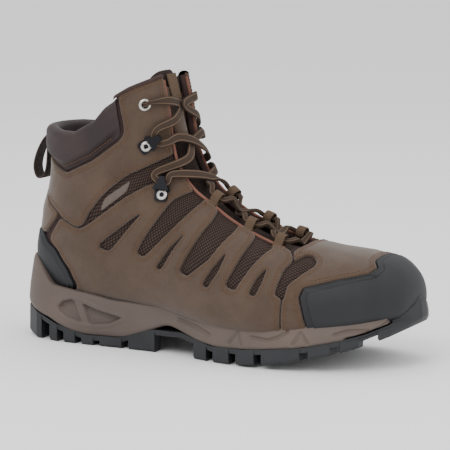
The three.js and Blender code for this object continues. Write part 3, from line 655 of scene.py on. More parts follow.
NUBUCK = nubuck_look()
COLLAR = smooth_leather_look()
# mesh colours for both mesh looks: the first is the dark between the knots, partly painted shade
# and partly the backing seen through; the second is the knots' tone
MESH = mesh_look("mesh_textile", srgb(32, 25, 23), srgb(84, 66, 58), .24)
TONGUE_MESH = mesh_look("tongue_mesh", srgb(28, 22, 20), srgb(78, 61, 53), .24)
CAP = rubber_look("rubber_cap", srgb(19, 20, 23), .62)
TREAD = rubber_look("rubber_outsole", srgb(27, 28, 31), .62, 900)
FOAM = foam_look()
THREAD = cloth_look("thread", srgb(92, 66, 48), srgb(112, 84, 62), 3000)
LACE = webbing_look("lace_cord", srgb(66, 52, 42), 2.2, srgb(98, 80, 64))
TAN_WEB = webbing_look("loop_webbing", srgb(92, 74, 58), 1.6)
TAB_WEB = webbing_look("tab_webbing", srgb(66, 55, 52), 1.5)
LINING = cloth_look("lining_fabric", srgb(78, 50, 42), srgb(100, 66, 54), 1100)
BINDING = cloth_look("binding", srgb(48, 38, 37), srgb(66, 52, 49), 1500)
PIPING = cloth_look("piping_cord", srgb(104, 70, 60), srgb(122, 86, 74), 1600)
STEEL = metal_look("ring_metal", srgb(190, 188, 184), .32)
BLACK = metal_look("hook_metal", srgb(40, 40, 43), .42)
BED = cloth_look("footbed_knit", srgb(40, 40, 43), srgb(58, 57, 60), 1000)
LABEL = webbing_look("woven_label", srgb(120, 108, 100), 3.0)

# ------------------------------------------------------------------ outlines of the upper
FEATHER = .41
TOE_EDGE = [[3.4, 0], [3.36, .059], [3.08, .091], [3.3, .125], [4.26, .15],
            [5.0, .176], [5.06, .2], [4.88, .263], [4.8, FEATHER]]
THROAT = [[5.42, 0], [5.58, .072], [7, .067], [8.3, .069], [9.6, .087], [11.3, .087],
          [13, .078], [17, .066]]
ANKLE_SEAM = [[11.7, .25], [11.83, .273], [12.15, .29], [12.68, .329], [13.7, .426],
              [13.9, .5]]
HEEL_EDGE = [[12.85, .5], [12.8, .431], [12.47, .384], [11.86, .338], [11.31, .334],
             [10.94, .352], [10.85, FEATHER]]
COLLAR_EDGE = [[14.95, .5], [14.8, .43], [13.8, .331], [13.62, .26], [13.78, .206],
               [13.99, .198], [17, .2]]
WINDOWS = [
    [[11.72, .256], [11.95, .254], [12.13, .225], [12.13, .184], [11.77, .122], [11.45, .05],
     [10.75, .05], [10.74, .105], [11.28, .154], [11.5, .19]],
    [[11.08, .256], [10.64, .251], [10.6, .179], [10.78, .199]],
    [[9.91, .234], [9.64, .235], [9.06, .134], [8.84, .09], [8.84, .04], [9.47, .04],
     [9.5, .09], [9.93, .13], [9.96, .2]],
    [[9.18, .242], [9.0, .242], [8.86, .189], [8.72, .158], [9.02, .198]],
    [[8.45, .224], [8.15, .223], [7.62, .171], [7.23, .095], [7.2, .04], [8.13, .04],
     [8.1, .1], [8.38, .191]],
    [[7.65, .223], [7.46, .225], [7.21, .182], [7.14, .14], [7.44, .184]],
    [[6.94, .206], [6.62, .208], [6.41, .169], [6.04, .086], [6.02, .04], [6.62, .04],
     [6.6, .095], [6.73, .147]],
    [[6.25, .21], [6.07, .211], [5.95, .177], [5.93, .14], [6.12, .172]],
    [[5.63, .2], [5.42, .203], [5.38, .174], [4.95, .112], [4.95, .09], [5.13, .072],
     [5.29, .075], [5.56, .134]],
]
# ------------------------------------------------------------------ edges of the panels
THROAT_ARRAY = np.array(THROAT)


def throat_t(s):
    return float(np.interp(s, THROAT_ARRAY[:, 0], THROAT_ARRAY[:, 1]))


RIM = np.array([[-150, 153.5], [-126, 153], [-112, 151], [-99, 151], [-82, 160], [-67, 177],
                [-58, 182.5], [-46, 188], [-37, 193], [-20, 197]], float)


def rim_s(t):
    """Station at which the form meets the rim of the shaft, for an array of t."""
    t = np.atleast_1d(np.asarray(t, float))
    s = np.linspace(11.5, TOP - .01, 240)
    p = form(s[None], t[:, None])
    below = p[..., 2] - np.interp(p[..., 0], RIM[:, 0], RIM[:, 1])
    k = np.argmax(below > 0, axis=1)
    k = np.where((below > 0).any(1), np.maximum(k, 1), len(s) - 1)
    i = np.arange(len(t))
    f = -below[i, k - 1] / (below[i, k] - below[i, k - 1])
    return s[k - 1] + np.clip(f, 0, 1) * (s[k] - s[k - 1])


def per_mm(s, t):
    """Stations per millimetre along a column."""
    return 1 / np.maximum(np.linalg.norm(slopes(s, t)[0], axis=-1), 1e-6)


def side(outline, m):
    return [[s, 1 - t] for s, t in outline] if m else [list(p) for p in outline]


def shifted(outline, ds, dt=0.):
    return [[s + ds, t + dt] for s, t in outline]


def both(outline):
    """A half outline from the ridge outwards, closed by its mirror image."""
    return [list(p) for p in outline] + [[s, -t] for s, t in reversed(outline)]


def round_heel(half):
    return [list(p) for p in half] + [[s, 1 - t] for s, t in reversed(half)]


def notch(window):
    """The sides of a window that opens into the throat, from its higher end to its lower."""
    i = next(k for k, p in enumerate(window) if p[1] < .06)
    j = i + 1
    return ([[window[j][0], throat_t(window[j][0])]] + window[j + 1:] + window[:i]
            + [[window[i][0], throat_t(window[i][0])]])


def quarter_outline():
    back = list(reversed(shifted(HEEL_EDGE[1:], -.08, -.008)))[:4]
    edge = [[5.67, .0715], [5.49, .095], [5.48, .112], [5.56, .134], [5.63, .2], [5.48, .206],
            [5.46, .22], [5.48, .27], [5.48, FEATHER]]
    edge += back + [[12.2, .348], [12.44, .314], [12.12, .29], [11.8, .273], [11.7, .258]]
    edge += [[11.5, .19], [11.28, .154], [10.74, .105], [10.74, .087]]
    return edge + notch(WINDOWS[2]) + notch(WINDOWS[4]) + notch(WINDOWS[6])


def ankle_outline():
    t = np.linspace(.192, .07, 9)
    rim = [[float(s) - .04, float(x)] for s, x in zip(rim_s(t), t)]
    return (ANKLE_SEAM[1:5] + [[13.9, .497], [14.65, .497]]
            + shifted(COLLAR_EDGE[1:6], -.13, -.008) + rim
            + [[14.0, throat_t(14.0)], [13, .078], [11.61, .087], [11.77, .122],
               [12.13, .184], [12.13, .225], [11.95, .254], [11.8, .26]])


def vamp_outline():
    front = shifted(TOE_EDGE, .03)
    back = [[5.45, FEATHER], [5.45, .27], [5.44, .215], [5.4, .204], [5.38, .174], [4.95, .112],
            [4.95, .09], [5.13, .072], [5.27, .073], [5.43, .104], [5.47, .097], [5.56, .075],
            [5.45, .03]]
    return both(front + back)


EDGE = [(0, -.2), (0, 1.35), (.18, 1.85), (.5, 2.15), (1.0, 2.28)]
STITCH_ROWS = (1.6, 3.4)


def leather_height(d, s, t):
    return (2.3 + .45 * smooth_step((d - 4) / 9)
            + .1 * np.sin(s * 7.1 + t * 41) * np.sin(t * 97 - s * 3.3))


# ------------------------------------------------------------------ upper
def upper_panels():
    threads = Stitches()

    def stitched(loop, rows=STITCH_ROWS, hole=False):
        for d in rows:
            line = offset_loop(loop, d, hole)
            low = np.abs(line[:, 1] - np.round(line[:, 1])) > .385
            if low.any() and not low.all():
                line = np.roll(line, -int(np.argmax(low)), 0)
                low = np.roll(low, -int(np.argmax(low)), 0)
                cuts = np.flatnonzero(np.diff(low.astype(int)) != 0) + 1
                for part in np.split(line, cuts):
                    if len(part) > 6 and abs(part[0, 1] - round(part[0, 1])) <= .385:
                        threads.row(part, 2.42, closed=False)
            elif not low.any():
                threads.row(line, 2.42)

    for m, name in enumerate(("lateral", "medial")):
        outline = rounded(side(quarter_outline(), m), 1.8)
        holes = [rounded(side(WINDOWS[k], m), 2.2) for k in (1, 3, 5, 7)]
        q = panel(f"{name}_quarter_leather", outline, holes, EDGE, NUBUCK, leather_height)
        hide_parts(f"{name}_quarter")
        stitched(outline)
        for h in holes:
            stitched(h, (1.8,), True)
        outline = rounded(side(ankle_outline(), m), 2.2)
        a = panel(f"{name}_ankle_leather", outline, [], EDGE, NUBUCK, leather_height)
        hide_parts(f"{name}_ankle_panel")
        stitched(outline)
    outline = rounded(vamp_outline(), 1.1)
    v = panel("vamp_leather", outline, [], EDGE, NUBUCK, leather_height)
    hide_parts("vamp")
    stitched(outline)
    stay = round_heel([[12.83, .431], [12.5, .384], [12.43, .37], [12.56, .329]]
                      + shifted(ANKLE_SEAM[3:5], -.03))
    outline = rounded(stay, 2)
    b = panel("backstay_leather", outline, [], EDGE, NUBUCK, leather_height)
    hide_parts("backstay")
    stitched(outline, (1.9,))
    outline = rounded(round_heel(HEEL_EDGE[1:]), 2.5)
    h = panel("heel_cap_rubber", outline, [],
              [(0, -.2), (0, 1.2), (.2, 1.75), (.6, 2.0), (2.6, 2.0), (3.0, 2.2), (3.4, 2.7),
               (4.0, 2.9)], CAP, lambda d, s, t: 2.9 + .3 * smooth_step((d - 5) / 9))
    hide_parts("heel_cap")
    thread = threads.build("upper_stitching", THREAD)


BUMPER_TOP = np.array([[110, 24], [117, 25.5], [130, 31], [136.5, 36], [141, 43],
                       [145.5, 49], [148, 50]], float)
MIDSOLE_NOSE = 133
BUMPER_SEAT = 2.6            # how far the midsole steps in behind the bumper
UNDER_BUMPER = 2.2           # height of the cap where the bumper covers it


def bumper_top(x):
    return np.interp(x, BUMPER_TOP[:, 0], BUMPER_TOP[:, 1])


def toe_cap():
    """Rubber cap: a thin flange along its edge and a raised field inside it."""
    edge = np.array(TOE_EDGE)
    t = np.linspace(-FEATHER, FEATHER, 260)
    top = np.interp(np.abs(t), edge[:, 1], edge[:, 0])
    f = np.linspace(0, 1, 170) ** 1.5
    s = .03 + (top[None] - .03) * (1 - f[:, None])
    tt = np.broadcast_to(t, s.shape)
    tree = near_tree(form(top, t))
    p = form(s, tt)
    d = np.array([tree.find(q)[2] for q in p.reshape(-1, 3)]).reshape(s.shape)
    lines = np.exp(-((d - 1.2) / .45) ** 2) + np.exp(-((d - 3.2) / .45) ** 2)
    off = (.3 + 2.0 * smooth_step((d + .02) / .5) + .42 * lines
           + .85 * smooth_step((d - 4.3) / .8) + .3 * smooth_step((d - 6) / 10))
    over = 1.6 * smooth_step((p[..., 2] - bumper_top(p[..., 0])) / 4)
    off = np.where(p[..., 0] > 104, np.minimum(off, UNDER_BUMPER + over), off)
    pts = world(design(s, tt, off))
    first = world(design(top, t, np.full(len(t), -.3)))[None]
    uv = np.concatenate([flat_uv(top, t)[None],
                         flat_uv(s, tt)])
    cap = fix_normals(sheet_from("toe_cap_rubber", np.concatenate([first, pts]), CAP, uv=uv))
    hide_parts("toe_cap")


def textile():
    """Woven mesh, puffed a little in each window, over a dark backing."""
    for m in (0, 1):
        for k, window in enumerate(WINDOWS):
            kept = [[s, max(t, throat_t(s) + .006)] for s, t in window]
            outline = rounded(side(kept if k < 8 else window, m), 2.0, 1.6)
            grown = offset_loop(outline, -2.2)
            pad = panel(f"mesh_{'lm'[m]}{k + 1}", grown, [], [(0, -.6), (.4, -.15)], MESH,
                        lambda d, s, t: -.15 + 1.5 * smooth_step((d - 1.5) / 6), 2.2)
            if k == 0 and m == 0:
                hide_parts("textile")
    s = np.linspace(0, 1, 90)[:, None]
    t = np.linspace(0, 1, 181)[None]
    low = .25
    high = rim_s(t.ravel())[None] - .15
    ss = low + (high - low) * s
    grid = world(design(ss, np.broadcast_to(t, ss.shape), np.full(ss.shape, -.35)))
    faces = []
    for i in range(89):
        for j in range(180):
            mid = (t[0, j] + t[0, j + 1]) / 2
            mid = min(mid, 1 - mid)
            if ss[i, j] > 5.42 and mid < throat_t(ss[i, j]):
                continue
            faces.append((i * 181 + j, i * 181 + j + 1, (i + 1) * 181 + j + 1, (i + 1) * 181 + j))
    back = make("upper_backing", grid.reshape(-1, 3), faces, BINDING)


def collar_edge(t):
    e = np.array(COLLAR_EDGE[:6])[::-1]
    return np.interp(np.minimum(t, 1 - t), e[:, 1], e[:, 0])


def collar():
    """Padded ankle collar, rolled over the rim and down inside the shaft."""
    t = np.linspace(.2, .8, 220)
    low, rim = collar_edge(t), rim_s(t)
    r = 4.6
    step = per_mm(rim - .1, t)
    centre = rim - (r + .2) * step
    ends = np.minimum(t - .2, .8 - t) * 240
    swell = .25 + .75 * smooth_step(ends / 7)
    rows = []
    for v in np.linspace(0, 1, 46):
        s = low + (centre - low) * v
        d = (centre - low) * v / step
        q = .3 + (4.7 * smooth_step((d + .3) / 7) + .5 * np.sin(np.pi * np.clip(v, 0, 1))) * swell
        rows.append((s, q))
    for phi in np.linspace(0, np.pi, 16)[1:]:
        mid, amp = .3, r * (.35 + .65 * swell)
        rows.append((centre + amp * np.sin(phi) * step,
                     np.where(np.cos(phi) > 0, .3 + 4.7 * swell * np.cos(phi),
                              mid + 5.0 * np.cos(phi))))
    for v in np.linspace(0, 1, 12)[1:]:
        rows.append((centre - 22 * v * step, np.full(len(t), -4.7) - 1.2 * np.sin(np.pi * v)))
    s, off = np.array([a for a, _ in rows]), np.array([b for _, b in rows])
    tt = np.broadcast_to(t, s.shape)
    off = off + .18 * np.sin(tt * 70 + s * 3) * np.sin(s * 9 - tt * 31)
    piece = fix_normals(sheet_from("collar_padded", world(design(s, tt, off)), COLLAR,
                                   uv=flat_uv(s, tt)))
    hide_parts("collar")
    seam = Stitches()
    inner = (t > .215) & (t < .785)
    line = np.stack([low + 3.2 * per_mm(low, t), t], -1)[inner]
    seam.row(line, 3.1, closed=False)
    seam.build("collar_stitching", THREAD)
    for m in (0, 1):
        u = np.linspace(.068, .203, 60)
        u = 1 - u if m else u
        rim = rim_s(u)
        step = per_mm(rim - .1, u)
        rows = [(rim - 1.4 * step, np.full(60, 2.0))]
        for phi in np.linspace(0, np.pi, 13):
            rows.append((rim + (-1.6 + 2.6 * np.sin(phi)) * step,
                         np.full(60, -1.2 + 3.9 * np.cos(phi))))
        rows.append((rim - 12 * step, np.full(60, -5.2)))
        s, off = np.array([a for a, _ in rows]), np.array([b for _, b in rows])
        tt = np.broadcast_to(u, s.shape)
        edge = fix_normals(sheet_from(f"cuff_{'lm'[m]}", world(design(s, tt, off)), BINDING,
                                      uv=flat_uv(s, tt)))


def lining():
    t = np.linspace(0, 1, 121)[None]
    v = np.linspace(0, 1, 70)[:, None]
    high = rim_s(t.ravel())[None] - .35
    s = .6 + (high - .6) * v
    tt = np.broadcast_to(t, s.shape)
    grid = world(design(s, tt, np.full(s.shape, -4.6)))
    faces = []
    for i in range(69):
        for j in range(120):
            mid = (t[0, j] + t[0, j + 1]) / 2
            mid = min(mid, 1 - mid)
            if s[i, j] > 5.6 and mid < throat_t(s[i, j]) + .004:
                continue
            faces.append((i * 121 + j, (i + 1) * 121 + j, (i + 1) * 121 + j + 1, i * 121 + j + 1))
    piece = make("lining_cloth", grid.reshape(-1, 3), faces, LINING)
    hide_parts("lining")
    for m in (0, 1):
        end = float(rim_s(.075)[0]) - .15
        s = np.r_[np.linspace(5.6, 9, 50), np.linspace(9.05, end, 90)]
        t = np.array([throat_t(x) for x in s])
        a = np.linspace(-math.pi / 2, math.pi / 2, 9)
        off = -2.3 + 2.3 * np.sin(a)[None] + 0 * s[:, None]
        tt = t[:, None] - 1.2 * np.cos(a)[None] / 250 * 1.4
        ss = np.broadcast_to(s[:, None], tt.shape)
        if m:
            tt = 1 - tt
        lip = fix_normals(sheet_from(f"throat_edge_{'lm'[m]}", world(design(ss, tt, off)),
                                     BINDING, uv=flat_uv(ss, tt)))


def footbed():
    u = np.linspace(-1, 1, 41)[None]
    s = np.linspace(2, 10.4, 90)[:, None]
    w = .082 * np.clip(np.minimum((s - 1.8) / .8, (10.65 - s) / .5), 0, 1) ** .5
    t = .5 + w * u
    off = -8.9 - .5 * np.abs(u) ** 3 + 4.0 * smooth_step((np.abs(u) - .94) / .06)
    off = off + 0 * s
    ss = np.broadcast_to(s, t.shape)
    piece = fix_normals(sheet_from("footbed_top", world(design(ss, t, off)), BED,
                                   uv=flat_uv(ss, t)))
    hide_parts("footbed")


def tongue():
    s = np.r_[np.linspace(5.25, 15.4, 150), 15.4 + .8 * np.sin(np.linspace(0, np.pi / 2, 24))[1:]]
    half = np.interp(s, [5.2, 8, 11, 13, 15.4], [.07, .097, .117, .106, .102])
    top = np.clip((s - 15.4) / .82, 0, 1)
    half = half * np.sqrt(1 - top ** 4 * .93)
    n = 30
    u = np.linspace(-1, 1, n)
    thick = 2.2 * np.sqrt(1 - np.abs(u) ** 3.5)[None] * np.sqrt(1 - top ** 3 * .97)[:, None]
    ribs = .35 * np.cos(u * np.pi * 3)[None] * (1 - top)[:, None]
    outer = -9.7 + thick + ribs * (np.abs(u) < .93)[None]
    innr = -9.7 - thick
    tt = half[:, None] * u[None]
    ring_t = np.concatenate([tt, tt[:, ::-1]], 1)
    ring_o = np.concatenate([outer, innr[:, ::-1]], 1)
    ss = np.broadcast_to(s[:, None], ring_t.shape)
    pts = world(design(ss, ring_t, ring_o))
    faces = grid_faces(len(s), 2 * n, True)
    faces += [tuple(range(2 * n)), tuple(range(len(s) * 2 * n - 1, (len(s) - 1) * 2 * n - 1, -1))]
    piece = fix_normals(make("tongue_padded", pts.reshape(-1, 3), faces, TONGUE_MESH,
                             uv=flat_uv(ss, ring_t).reshape(-1, 2)))
    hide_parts("tongue")
    outline = rounded([[12.2, .052], [15.2, .06], [15.2, -.06], [12.2, -.052]], 4)
    patch = panel("tongue_leather", outline, [], [(0, -8.2), (0, -7.1), (.3, -6.75), (.8, -6.6)],
                  NUBUCK, lambda d, s, t: -6.6 + 0 * d)
    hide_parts("tongue_patch")
    rows = Stitches()
    rows.row(offset_loop(outline, 1.8), -6.5)
    rows.build("tongue_stitching", THREAD)
    line = np.linspace(14.3, 15.95, 40)
    p = design(line, np.zeros(40), np.full(40, -6.1))
    strip = ribbon("tongue_strip", p, slopes(line, np.zeros(40))[2], 13.0, 1.3, TAN_WEB)


def label():
    outline = rounded([[11.72, .236], [11.98, .225], [11.86, .175], [11.62, .186]], 1.2)
    tag = panel("side_label", outline, [], [(0, .6), (.15, 1.35), (.5, 1.5)], LABEL)
    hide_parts("woven_label")


# ------------------------------------------------------------------ lacing
HOOKS = [(10.42, .138, .62), (12.72, .14, .05)]
LOOPS = [(5.98, .071), (6.92, .0675), (8.48, .0705)]
LOOP_EYE = (6.8, -2.4)
CROSSINGS = [6.3, 7.65, 9.45, 11.6, 13.9]
OVER, UNDER = -1.2, -4.6
PANEL_TOP, GAP = 2.3, .3


def frame_on(s, t, off, turn=0.):
    """Basis on the form, in design mm: x towards the ridge, y along it, z the normal."""
    n = slopes(np.array(s), np.array(t))[2]
    o = form(s, t) + n * off
    sign = -1 if t > .5 else 1
    ridge = form(s, t - .01 * sign) + slopes(np.array(s), np.array(t - .01 * sign))[2] * off - o
    x = ridge - n * ridge.dot(n)
    x /= np.linalg.norm(x)
    x = np.array(Matrix.Rotation(turn * sign, 3, Vector(n)) @ Vector(x))
    return o, np.stack([x, np.cross(n, x), n], 1)


def put(points, basis):
    o, m = basis
    return np.asarray(points, float) @ m.T + o


def guide(kind, i, m):
    x, z = LOOP_EYE
    s, t, turn = (*LOOPS[i], 0.) if kind == "loop" else HOOKS[i]
    lift = 2. if kind == "loop" else .4
    local = ([[x + 6, -9, z - .4], [x + .5, -4.6, z], [x + .5, 4.6, z], [x + 6, 9, z - .4]]
             if kind == "loop" else
             [[14.6, -5.8, 3.2], [8.9, -3.1, 3], [8.9, 3.1, 3], [14.6, 5.8, 3.2]])
    basis = frame_on(s, 1 - t if m else t, PANEL_TOP + GAP + lift, turn)
    points = [(p, basis[1][:, 2], kind) for p in put(local, basis)]
    return points[::-1] if m else points


def on_skin(s, t, off):
    s, t = np.array(s, float), np.array(t, float)
    return design(s, t, np.array(off, float)), slopes(s, t)[2], "free"


def lace_leg(m):
    points = []
    side_at = lambda k: 0 if (k + m) % 2 else 1
    shoulder = lambda s, at: on_skin(s, 1 - .062 if at else .062, 3)
    for k, (kind, i) in enumerate((("loop", 1), ("loop", 2), ("hook", 0), ("hook", 1))):
        at = side_at(k)
        s = HOOKS[i][0] if kind == "hook" else 0
        points.append(on_skin(CROSSINGS[k], 0, OVER if (k + m) % 2 else UNDER))
        if s:
            points.append(shoulder(.55 * s + .45 * CROSSINGS[k], at))
        points += guide(kind, i, at)
        if s:
            points.append(shoulder(.55 * s + .45 * CROSSINGS[k + 1], at))
    points.append(on_skin(CROSSINGS[4], 0, OVER if m else UNDER))
    points.append(on_skin(14.4, 1 - .07 if m else .07, 4.2))
    eyelet = frame_on(EYELET[0], 1 - EYELET[1] if m else EYELET[1], 0)
    for p in put([[5, 0, 5.2], [1.3, 0, 5], [0, 0, 2.4], [0, 0, -2], [0, 0, -6]], eyelet):
        points.append((p, eyelet[1][:, 2], "eyelet"))
    return points


LACE_WIDTH, LACE_THICK = 6.2, 1.5
LACE_END = [[14.4, .15, -10], [13.8, .166, -8.6], [13, .182, -8.2], [12, .198, -8.2],
            [11, .208, -8.2], [10.2, .228, -8.2], [9.6, .27, -8.6], [9.1, .32, -9.5],
            [8.4, .35, -10], [7.6, .352, -10], [6.8, .353, -10.4], [6.2, .355, -11.2],
            [5.6, .357, -12]]


def lace():
    points = (lace_leg(0)[::-1] + guide("loop", 0, 0)[::-1] + [on_skin(5.72, 0, -2.6)]
              + guide("loop", 0, 1) + lace_leg(1))
    p = np.array([a for a, _, _ in points])
    n = np.array([b for _, b, _ in points])
    tight = np.array([{"free": 0., "loop": .75, "hook": .45, "eyelet": 1.}[c]
                      for _, _, c in points])
    path, normal = catmull(p, 14), catmull(n, 14)
    at = np.arange(len(path)) / 14
    squeeze = smooth_step(np.interp(at, np.arange(len(points)), tight))
    tangent = np.gradient(path, axis=0)
    tangent /= np.linalg.norm(tangent, axis=1, keepdims=True)
    ends = np.minimum(at, at[-1] - at)
    inward = np.cross(tangent, [0., 0., 1.])
    for i in range(len(path)):
        if ends[i] < 4:
            normal[i] = normal[i] * min(ends[i] / 4, 1) + inward[i] * (1 - min(ends[i] / 4, 1))
    for _ in range(3):
        normal[1:-1] = (normal[:-2] + normal[1:-1] * 2 + normal[2:]) / 4
    strap = ribbon("lace_flat", path, normal, LACE_WIDTH - 3.0 * squeeze,
                   LACE_THICK + 1.5 * squeeze, LACE, sides=16)
    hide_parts("lace")


def lace_ends():
    """The two free ends, hanging inside the shaft, each with its metal tip."""
    for m, name in enumerate(("lateral", "medial")):
        eye = frame_on(EYELET[0], 1 - EYELET[1] if m else EYELET[1], 0)
        drop = [on_skin(s, 1 - t if m else t, off) for s, t, off in LACE_END]
        points = np.vstack([put([[0, 0, -6.3], [0, 0, -8.4]], eye), [p for p, _, _ in drop]])
        normals = np.vstack([eye[1][:, 0], eye[1][:, 0], [n for _, n, _ in drop]])
        path = catmull(points, 10)
        strap = ribbon(f"{name}_lace_tail", path, catmull(normals, 10), LACE_WIDTH,
                       LACE_THICK, LACE, sides=16)
        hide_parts(f"{name}_lace_end")
        along = path[-1] - path[-2]
        along /= np.linalg.norm(along)
        across = np.cross(along, normals[-1])
        across /= np.linalg.norm(across)
        basis = (path[-1] + along * GAP, np.stack([across, np.cross(along, across), along], 1))
        tip = turned(f"{name}_lace_tip", [(.3, 0), (1.7, 0), (1.9, .5), (1.9, 3), (1.75, 3.5),
                                          (1.9, 4), (1.9, 17.2), (1.6, 18), (.3, 18)],
                     basis, STEEL, f"{name}_aglet")


def webbing_loops():
    for m, name in enumerate(("lateral", "medial")):
        for i, (s, t) in enumerate(LOOPS):
            basis = frame_on(s, 1 - t if m else t, PANEL_TOP + GAP + 2)
            x, z = LOOP_EYE
            a = np.linspace(2.2, -2.6, 15)
            local = [[-3, -4.2], [1, -2.6], [2.6, -1.0]]
            local += [[x + 4.05 * math.cos(q), z + 4.05 * math.sin(q)] for q in a]
            local += [[1.5, -4.3], [-2, -3.4]]
            pts = catmull([[u, 0, w] for u, w in local], 5)
            tang = np.gradient(pts, axis=0)
            nrm = np.cross(tang, [0, 1, 0]) * -1
            strap = ribbon(f"{name}_webbing_{i + 1}", put(pts, basis), nrm @ basis[1].T, 6.4,
                           1.15, TAN_WEB)
            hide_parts(f"{name}_loop_{i + 1}")


def turned(name, profile, basis, material, node, sides=40):
    profile = catmull(profile, 4, closed=True)
    a = np.linspace(0, 2 * np.pi, sides, endpoint=False)
    pts = np.array([[[r * np.cos(q), r * np.sin(q), z] for q in a] for r, z in profile])
    faces = grid_faces(len(profile), sides, True)
    k = (len(profile) - 1) * sides
    faces += [(k + j, k + (j + 1) % sides, (j + 1) % sides, j) for j in range(sides)]
    ring = fix_normals(make(name, world(put(pts.reshape(-1, 3), basis)), faces, material))
    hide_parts(node)
    return ring


def hardware():
    for m, name in enumerate(("lateral", "medial")):
        eye = frame_on(EYELET[0], 1 - EYELET[1] if m else EYELET[1], 0)
        turned(f"{name}_eyelet", [(2, -4.9), (2.5, -4.9), (2.6, 2.5), (3.9, 2.55), (4.3, 2.75),
                                  (4.0, 3.3), (3.0, 3.8), (2.2, 3.4), (2, 2.4)],
               eye, STEEL, f"{name}_grommet")
        turned(f"{name}_back_washer", [(2, -7), (4.2, -7), (4.2, -6.2), (2, -6.2)], eye, STEEL,
               f"{name}_washer")
        for i, (s, t, turn) in enumerate(HOOKS):
            base = frame_on(s, 1 - t if m else t, PANEL_TOP + GAP + .4, turn)
            turned(f"{name}_rivet_{i + 1}", [(1.5, 1.2), (3.7, 1.2), (3.75, 1.6), (3.2, 2.2),
                                             (2.4, 2.5), (1.7, 2.2)],
                   base, STEEL, f"{name}_hook_rivet_{i + 1}")
            hook = bpy.data.objects.get(f"{name}_hook_{i + 1}")
            bevel(hook, .00035, 3)


def bevel(obj, width, segments=2, angle=35):
    b = obj.modifiers.new("soft edges", "BEVEL")
    b.width, b.segments, b.limit_method = width, segments, "ANGLE"
    b.angle_limit = math.radians(angle)
    b.harden_normals = False


def piping():
    for m, name in enumerate(("lateral", "medial")):
        end = float(rim_s(.064)[0]) - .3
        st = [(s, throat_t(s) - .004) for s in np.linspace(5.8, end, 12)]
        pts = np.array([design(np.array(s), np.array(1 - t if m else t), np.array(.2))
                        for s, t in st])
        path = catmull(pts, 16)
        nrm = catmull(np.array([slopes(np.array(s), np.array(1 - t if m else t))[2]
                                for s, t in st]), 16)
        cord = ribbon(f"{name}_piping_cord", path, nrm, 2.2, 2.2, PIPING, sides=12, power=1.)
        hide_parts(f"{name}_piping")


# ------------------------------------------------------------------ sole
SOLE_PLAN = [(-153, -3, 3), (-147, -22, 22), (-130, -35, 34), (-105, -39, 37), (-75, -39, 35),
             (-45, -39, 34), (-15, -43, 34), (15, -51, 39), (45, -56, 47), (70, -56, 51),
             (95, -51, 51), (116, -41, 48), (133, -26, 40), (143, -7, 28), (147.5, 6, 14)]
OUTSOLE_TOP = np.array([[-154, 24], [-147, 22], [-123, 17], [-113, 12], [-102, 9], [-90, 7.5],
                        [-59, 8], [-47, 12], [-35, 17], [-25, 20.5], [-18, 19.5], [-8, 16],
                        [3, 13], [19, 11], [44, 12.5], [83, 17], [107, 22],
                        [120, 25.6], [148, 37.2]], float)
MIDSOLE_TOP = np.array([[-154, 60], [-142, 57], [-133, 48], [-124, 40], [-108, 38], [-90, 36],
                        [-72, 33], [-40, 32], [-22, 33], [-6, 31], [13, 28], [56, 28],
                        [80, 30], [102, 33], [122, 36], [139, 38], [148, 40]], float)
HEEL_EYE = [(-115, 25), (-111, 29.5), (-104, 31), (-96, 29.5), (-82, 25), (-62, 21.2),
            (-72, 16.5), (-84, 15), (-95, 15.5), (-106, 18), (-113, 21.5)]
STRUT = [(-93, 12), (-86, 12), (-97, 34), (-104, 34)]
GROOVES = [[(-15, 25.5), (0, 22.5), (13, 18.5)], [(30, 15), (36, 23.5), (40, 15)],
           [(47, 21), (60, 20), (67, 22.5), (74, 27)], [(78, 18.5), (83, 26.5), (88, 20)],
           [(105, 26), (113, 28.6), (124, 29)]]


def smooth_line(table, x):
    """Linear profile with its corners rounded over about six millimetres."""
    return sum(np.interp(x + d, table[:, 0], table[:, 1]) for d in (-3, -1.5, 0, 1.5, 3)) / 5


def sole_outline(step=.9):
    plan = np.array(SOLE_PLAN, float)
    lateral = catmull(plan[:, [0, 1]], 24)
    medial = catmull(plan[:, [0, 2]], 24)[::-1]
    loop = resample(np.vstack([lateral, medial, lateral[:1]]), step)[:-1]
    return loop


def polygon_distance(p, poly, closed=True):
    """Distance to a polygon's edge, negative inside it when it is closed."""
    poly = np.array(poly, float)
    ends = np.roll(poly, -1, 0) if closed else poly[1:]
    starts = poly if closed else poly[:-1]
    best = np.full(p.shape[:-1], 1e9)
    for a, b in zip(starts, ends):
        ab = b - a
        f = np.clip(((p - a) @ ab) / (ab @ ab), 0, 1)
        best = np.minimum(best, np.linalg.norm(p - a - f[..., None] * ab, axis=-1))
    if closed:
        flat = p.reshape(-1, 2)
        best = np.where(inside(flat, poly).reshape(best.shape), -best, best)
    return best


def wall_relief(x, z):
    """How far the sidewall is pushed in, in mm."""
    p = np.stack([x, z], -1)
    eye = polygon_distance(p, HEEL_EYE)
    strut = polygon_distance(p, STRUT)
    hole = smooth_step((-eye) / 1.3) * smooth_step((strut + .6) / 1.2)
    rim = np.exp(-((eye - 1.4) / 1.0) ** 2)
    depth = 3.6 * hole - .55 * rim
    for line in GROOVES:
        near = polygon_distance(p, line, False)
        depth = depth + 1.3 * np.exp(-(near / .95) ** 2) - .25 * np.exp(-((near - 2.2) / .8) ** 2)
    return depth


